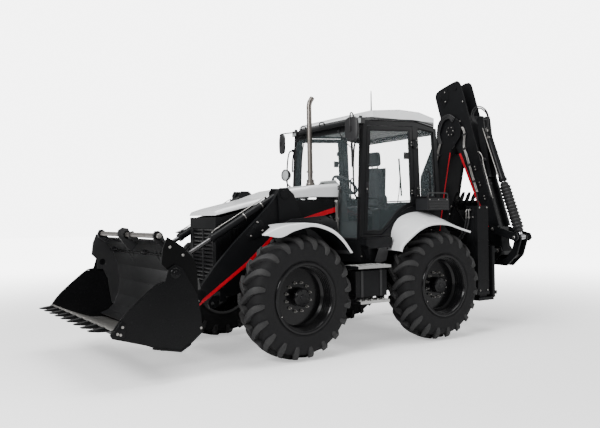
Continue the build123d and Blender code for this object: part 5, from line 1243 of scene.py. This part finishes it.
for s in (1, -1):
    for z in (0.575, 1.73):
        for x in (-3.20, -3.05):
            p.bolt((x, s * 1.0445, z + (0.0 if z < 1 else 0.0)), (0, s, 0), 0.009, 0.007)
    for y in (0.92, 0.97):
        for z in (0.66, 1.60):
            p.bolt((-3.001, s * y, z), (1, 0, 0), 0.008, 0.006)
    for y in (0.42, 0.58, 0.74, 0.90):
        for z in (0.535, 1.165):
            p.bolt((-3.340 - 0.0, s * y, z), (-1, 0, 0), 0.009, 0.006) if z < 0.5 or z > 1.16 else None
p.done()
for name, s in (("left", 1), ("right", -1)):
    p = Piece("foot_tread_" + name, "stabiliser_" + name, "black", "black_paint")
    for k in range(5):
        y = 0.868 + k * 0.045
        p.box((-3.27, s * (y - 0.006), 0.441), (-3.00, s * (y + 0.006), 0.446), 0.001, 1)
    p.box((-3.18, s * 0.855, 0.480), (-3.07, s * 1.022, 0.520), 0.008)
    p.tube([(-3.275, s * 0.86, 0.487), (-3.13, s * 0.86, 0.492), (-2.99, s * 0.86, 0.487)], 0.006, 8)
    p.done()

# ------------------------------------------------------------------ digging arm
XF = XB + 0.170          # the boom's face that looks forward
p = Piece("boom_plates", "boom", "black", "black_paint")
for s in (1, -1):
    xf = XB + s * 0.1705
    # doubler round the rod's boss, foot doubler, nose doubler and the rolled edges
    p.prism([(-0.400, 2.812), (-0.700, 2.290), (-0.712, 2.180), (-0.706, 1.965), (-0.560, 1.95), (-0.430, 2.02), (-0.36, 2.20),
             (-0.30, 2.55), (-0.30, 2.72)], "x", xf - s * 0.001, xf + s * 0.0075, 0.003)
    p.prism([(-0.525, 0.70), (-0.470, 0.634), (-0.398, 0.632), (-0.372, 0.69), (-0.352, 0.95), (-0.42, 1.06), (-0.535, 0.95)], "x",
            xf - s * 0.001, xf + s * 0.008, 0.003)
    p.lathe([(0.086, -0.002), (0.086, 0.010), (0.080, 0.013), (0.044, 0.013)], (xf, -0.04, 2.96), (s, 0, 0), 40)
    for (y, z, r_) in ((-0.42, 0.74, 0.060), (-0.62, 2.25, 0.062), (-0.29 + 0.001, 0.001, 0.0)):
        if r_:
            p.lathe([(r_, -0.002), (r_, 0.012), (r_ - 0.006, 0.016), (0.030, 0.016), (0.026, 0.022), (0.002, 0.024)],
                    (xf + s * (0.007 if z > 2 else 0.007), y, z), (s, 0, 0), 32)
    p.tube([(xf, -0.336, 2.895), (xf, -0.243, 3.088), (xf, -0.130, 3.163), (xf, 0.0, 3.163), (xf, 0.118, 3.107), (xf, 0.167, 2.98)], 0.007, 8)
    p.tube([(xf, -0.320, 1.16), (xf, -0.174, 1.952), (xf, -0.024, 2.676)], 0.006, 8)
    p.tube([(xf, -0.538, 0.81), (xf, -0.557, 1.30), (xf, -0.637, 1.64), (xf, -0.702, 1.96)], 0.006, 8)
p.done()
p = Piece("boom_bolts", "boom", "zinc", "worn_steel")
for s in (1, -1):
    for y, z in ((-0.561, 2.383), (-0.451, 2.277), (-0.409, 2.177), (-0.355, 2.188), (-0.500, 2.050), (-0.62, 2.06), (-0.44, 2.62),
                 (-0.36, 2.50), (-0.40, 0.98), (-0.47, 0.90)):
        p.bolt((XB + s * 0.1775, y, z), (s, 0, 0), 0.010, 0.008)
    for i in range(6):
        a = 2 * math.pi * i / 6
        p.bolt((XB + s * 0.1835, -0.04 + 0.063 * math.cos(a), 2.96 + 0.063 * math.sin(a)), (s, 0, 0), 0.007, 0.005)
p.done()
p = Piece("boom_pipes", "boom", "zinc", "worn_steel")
for k in range(2):
    o_ = 0.022 * k
    # steel lines along the boom's outer back and clipped to its face
    p.tube([(XF + 0.014, -0.262 + o_, 2.78), (XF + 0.020, -0.310 + o_, 2.62), (XF + 0.020, -0.372 + o_, 2.30), (XF + 0.020, -0.430 + o_, 1.95),
            (XF + 0.020, -0.470 + o_, 1.55), (XF + 0.020, -0.478 + o_, 1.12)], 0.0085, 10)
p.done()
p = Piece("boom_hoses", "boom", "hose", "floor_mat")
for k in range(3):
    o_ = 0.024 * k
    # looped over the nose
    p.tube([(XF + 0.014, -0.262 + o_ * 0.9, 2.78), (XF + 0.022, -0.300 + o_ * 0.9, 2.92), (XF + 0.030, -0.262 + o_, 3.10 - o_), (XF + 0.030, -0.160 + o_ * 0.4, 3.195 - o_),
            (XF + 0.026, -0.040, 3.214 - o_), (XF + 0.010, 0.060 - o_, 3.150 - o_)], 0.0125, 10)
    p.tube([(XF + 0.020, -0.478 + o_, 1.14), (XF + 0.026, -0.480 + o_, 1.04), (XF + 0.026, -0.500 + o_ * 0.6, 0.92), (XF + 0.014, -0.530 + o_ * 0.5, 0.84)], 0.0125, 10)
p.done()
p = Piece("boom_clips", "boom", "dark_plastic", "black_paint")
for (y, z) in ((-0.300, 2.60), (-0.362, 2.26), (-0.427, 1.90), (-0.462, 1.52), (-0.470, 1.20)):
    p.box((XF, y - 0.026, z - 0.016), (XF + 0.031, y + 0.048, z + 0.016), 0.005, 2, rot=(math.radians(8), 0, 0))
p.done()

XD = XB + 0.132          # the dipper's face that looks forward
p = Piece("dipper_plates", "dipper", "black", "black_paint")
for s in (1, -1):
    xf = XB + s * 0.1325
    p.tube([(xf, -0.380, 3.522), (xf, -0.369, 3.607), (xf, -0.260, 3.662), (xf, 0.030, 3.735), (xf, 0.104, 3.717), (xf, 0.145, 3.648), (xf, 0.241, 3.335),
            (xf, 0.531, 2.398), (xf, 0.692, 1.90)], 0.006, 8)
    # head doubler and collars
    p.prism([(-0.345, 3.540), (-0.330, 3.595), (-0.250, 3.630), (-0.13, 3.655), (-0.10, 3.48), (-0.20, 3.37), (-0.285, 3.42)], "x",
            xf - s * 0.001, xf + s * 0.0065, 0.003)
    for (y, z, r_) in ((-0.29, 3.516, 0.050), (0.03, 3.638, 0.036)):
        p.lathe([(r_, 0.0), (r_, 0.004), (r_ - 0.002, 0.006), (0.020, 0.006), (0.016, 0.0068), (0.002, 0.007)], (XB + s * 0.132, y, z), (s, 0, 0), 30)
    # wear-pad pockets along the edge
    for (y, z) in ((0.414, 2.345), (0.500, 2.10), (0.585, 1.89)):
        p.box((xf - s * 0.001, y - 0.028, z - 0.040), (xf + s * 0.008, y + 0.028, z + 0.040), 0.004, 2, rot=(math.radians(18), 0, 0))
p.done()
p = Piece("dipper_bolts", "dipper", "zinc", "worn_steel")
for s in (1, -1):
    for (y, z) in ((0.414, 2.345), (0.500, 2.10), (0.585, 1.89)):
        for dz in (-0.022, 0.022):
            p.bolt((XB + s * 0.1400, y - dz * 0.32, z + dz), (s, 0, 0), 0.0095, 0.007)
    for (y, z) in ((-0.180, 3.600), (-0.170, 3.450), (0.18, 3.40), (0.05, 2.80), (0.12, 3.10)):
        p.bolt((XB + s * (0.139 if y < -0.1 else 0.132), y, z), (s, 0, 0), 0.009, 0.007)
p.done()
p = Piece("dipper_pipes", "dipper", "zinc", "worn_steel")
for k in range(2):
    o_ = 0.024 * k
    p.tube([(XD + 0.012, 0.160 + o_, 3.00), (XD + 0.018, 0.212 + o_, 2.900), (XD + 0.018, 0.200 + o_, 2.70), (XD + 0.018, 0.252 + o_, 2.54), (XD + 0.018, 0.36 + o_, 2.22), (XD + 0.012, 0.44 + o_, 1.98)], 0.0085, 10)
# long line outside the lip with its hooked top
p.tube([(XD + 0.010, 0.470, 2.590), (XD + 0.026, 0.520, 2.575), (XD + 0.030, 0.575, 2.500), (XD + 0.030, 0.590, 2.400), (XD + 0.026, 0.640, 2.22),
        (XD + 0.022, 0.728, 1.925), (XD + 0.006, 0.742, 1.88)], 0.0085, 10)
p.done()
p = Piece("dipper_hoses", "dipper", "hose", "floor_mat")
p.tube([(XD + 0.012, 0.440, 1.98), (XD + 0.022, 0.470, 1.86), (XD + 0.022, 0.50, 1.70), (XD + 0.012, 0.57, 1.56)], 0.0125, 10)
p.done()
p = Piece("dipper_clips", "dipper", "dark_plastic", "black_paint")
for (y, z) in ((0.214, 2.88), (0.212, 2.66), (0.300, 2.40), (0.39, 2.14), (0.575, 2.46), (0.680, 2.09)):
    p.box((XD, y - 0.026, z - 0.016), (XD + 0.029, y + 0.044, z + 0.016), 0.005, 2, rot=(math.radians(14), 0, 0))
p.done()

# cylinders of the digging arm: glands, lines and port blocks
def axis2(a, b):
    A, B = Vector((XB, a[0], a[1])), Vector((XB, b[0], b[1]))
    D = (B - A).normalized()
    return A, D, Vector((0, -D.z, D.y))


for name, body, a, b, length, r_out, rod in (("boom_cylinder", "boom_barrel", (-0.78, 1.14), (-0.62, 2.25), 1.045, 0.058, 0.035),
                                             ("dipper_cylinder", "dipper_barrel", (-0.42, 1.22), (-0.29, 3.516), 1.300, 0.054, 0.032),
                                             ("bucket_cylinder", "bucket_barrel", (0.47, 3.08), (1.12, 1.30), 1.010, 0.052, 0.030)):
    A, D, U = axis2(a, b)
    p = Piece(name + "_gland", body, "black", "black_paint")
    p.lathe([(rod + 0.003, 0.0), (r_out + 0.004, 0.0), (r_out + 0.010, 0.006), (r_out + 0.010, 0.036), (r_out + 0.005, 0.042)], A + D * (length - 0.040), D, 32)
    p.lathe([(rod + 0.002, -0.02), (rod + 0.014, -0.01), (rod + 0.014, 0.008), (rod + 0.002, 0.014)], A + D * (length + 0.003), D, 28, closed=True)
    p.lathe([(r_out - 0.002, -0.008), (r_out + 0.005, -0.006), (r_out + 0.005, 0.006), (r_out - 0.002, 0.008)], A + D * (length * 0.55), D, 28, closed=True)
    for k in (0.22 if body == "boom_barrel" else 0.13, length - 0.06):
        p.cyl(A + D * k, A + D * k + Vector((0.078, 0, 0)), 0.015, seg=14, bev=0.002)
    p.done()
    p = Piece(name + "_line", body, "zinc", "worn_steel")
    X = Vector((1, 0, 0))
    k0 = 0.22 if body == "boom_barrel" else 0.13
    p.tube([A + D * k0 + X * 0.066, A + D * (k0 + 0.04) + X * 0.080, A + D * (length * 0.5) + X * 0.080, A + D * (length - 0.10) + X * 0.080, A + D * (length - 0.06) + X * 0.066], 0.0075, 10)
    p.done()

# hose loops from the bucket cylinder's base, held by it at both ends
p = Piece("bucket_cylinder_hoses", "bucket_barrel", "hose", "floor_mat")
for k in range(2):
    o_ = 0.026 * k
    p.tube([(XB + 0.055, 0.438, 3.015), (XB + 0.096, 0.405 - o_ * 0.4, 3.050), (XB + 0.122 + o_ * 0.3, 0.375 - o_, 3.145), (XB + 0.128 + o_ * 0.3, 0.415 - o_ * 0.6, 3.225 + o_),
            (XB + 0.128 + o_ * 0.3, 0.515, 3.245 + o_), (XB + 0.122 + o_ * 0.3, 0.610 + o_ * 0.5, 3.175 + o_), (XB + 0.105, 0.640 + o_ * 0.5, 3.080), (XB + 0.078, 0.610, 2.985 - o_),
            (XB + 0.060, 0.585, 2.905 - o_)], 0.0105, 10)
p.done()
p = Piece("bucket_cylinder_fittings", "bucket_barrel", "zinc", "worn_steel")
for k in range(2):
    o_ = 0.026 * k
    p.cyl((XB + 0.062, 0.586, 2.915 - o_), (XB + 0.070, 0.598, 2.950 - o_), 0.015, seg=6, bev=0.002)
    p.cyl((XB + 0.040, 0.440, 3.015), (XB + 0.068, 0.436, 3.018), 0.016, seg=6, bev=0.002)
for (y, z) in ((0.560, 2.920), (0.600, 2.800)):
    p.cyl((XB + 0.040, y, z), (XB + 0.066, y, z), 0.019, seg=14, bev=0.002)
p.done()

# ribbed boot over the bucket cylinder's rod
A, D, U = axis2((0.47, 3.08), (1.12, 1.30))
p = Piece("rod_boot", "bucket_rod", "boot", "floor_mat")
full = (Vector((XB, 1.12, 1.30)) - A).length
L0, L1 = 1.034, full - 0.075
prof, nrib = [], 15
for i in range(nrib * 4 + 1):
    t = i / (nrib * 4)
    body_r = 0.048 + 0.026 * min(1.0, t / 0.10, (1 - t) / 0.10)
    prof.append((body_r + 0.0095 * math.sin(2 * math.pi * nrib * t - math.pi / 2), L0 + (L1 - L0) * t))
prof = [(0.032, L0 - 0.002)] + prof + [(0.032, L1 + 0.002)]
p.lathe(prof, A, D, 32)
boot = p.done(60)
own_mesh(boot)

p = Piece("carriage_bolts", "carriage", "zinc", "worn_steel")
for y in (-0.25, -0.10, 0.10, 0.25):
    for z in (0.47, 1.17):
        p.bolt((-3.446, YK + y, z), (-1, 0, 0), 0.013, 0.010)
p.done()
p = Piece("carriage_ribs", "carriage", "black", "black_paint")
for y in (-0.13, 0.13):
    p.prism([(-3.445, 0.60), (-3.445, 0.89), (-3.52, 0.83), (-3.56, 0.72), (-3.52, 0.64)], "y", YK + y - 0.008, YK + y + 0.008, 0.002)
p.lathe([(0.088, -0.004), (0.092, 0.0), (0.088, 0.006), (0.047, 0.006)], (XB, YK, 0.985), (0, 0, 1), 36)
p.done()
p = Piece("swing_lines", "carriage", "hose", "floor_mat")
for k in range(3):
    p.tube([(-3.43, YK + 0.08 + 0.03 * k, 1.20), (-3.455, YK + 0.08 + 0.03 * k, 1.245), (-3.47, YK + 0.10 + 0.03 * k, 1.225), (-3.462, YK + 0.11 + 0.03 * k, 1.12)], 0.011, 10)
p.done()

p = Piece("dig_bucket_details", "digging_bucket", "bucket_black", "black_paint")
for s in (1, -1):
    xf = XB + s * 0.300
    # side cutter strip and heel pads
    p.prism([(0.112, 1.856), (0.034, 1.716), (0.018, 1.60), (0.050, 1.585), (0.076, 1.70), (0.150, 1.812), (0.262, 1.60), (0.275, 1.615)], "x",
            xf - s * 0.001, xf + s * 0.008, 0.003)
    p.tube([(xf, 0.030, 1.50), (xf, 0.066, 1.315), (xf, 0.172, 1.170), (xf, 0.346, 1.044), (xf, 0.545, 0.980)], 0.0075, 8)
for x in (-0.20, 0.0, 0.20):
    p.prism([(0.006, 1.49), (0.044, 1.302), (0.150, 1.142), (0.334, 1.010), (0.338, 1.018), (0.158, 1.152), (0.056, 1.308), (0.020, 1.49)], "x",
            XB + x - 0.035, XB + x + 0.035, 0.002)
p.done()
p = Piece("dig_bucket_bolts", "digging_bucket", "zinc", "worn_steel")
for s in (1, -1):
    for y, z in ((0.050, 1.65), (0.085, 1.765)):
        p.bolt((XB + s * 0.308, y, z), (s, 0, 0), 0.010, 0.007)
    for q in ((0.80, 1.10), (0.672, 0.936)):
        p.lathe([(0.024, 0.0), (0.024, 0.010), (0.020, 0.013), (0.002, 0.013)], (XB + s * 0.126, q[0], q[1]), (s, 0, 0), 24)
p.done()
p = Piece("linkage_pins", "tipping_lever", "zinc", "worn_steel")
for s in (1, -1):
    for q in ((0.745, 1.415), (1.12, 1.30)):
        p.lathe([(0.024, 0.0), (0.024, 0.008), (0.020, 0.011), (0.002, 0.011)], (XB + s * (0.164 if q[0] < 1 else 0.168), q[0], q[1]), (s, 0, 0), 24)
p.done()

# ------------------------------------------------------------------ stage
bpy.ops.mesh.primitive_plane_add(size=120, location=(0, 0, -0.001))
floor = bpy.context.object
floor.name = "floor"
floor.data.materials.append(M["floor"])
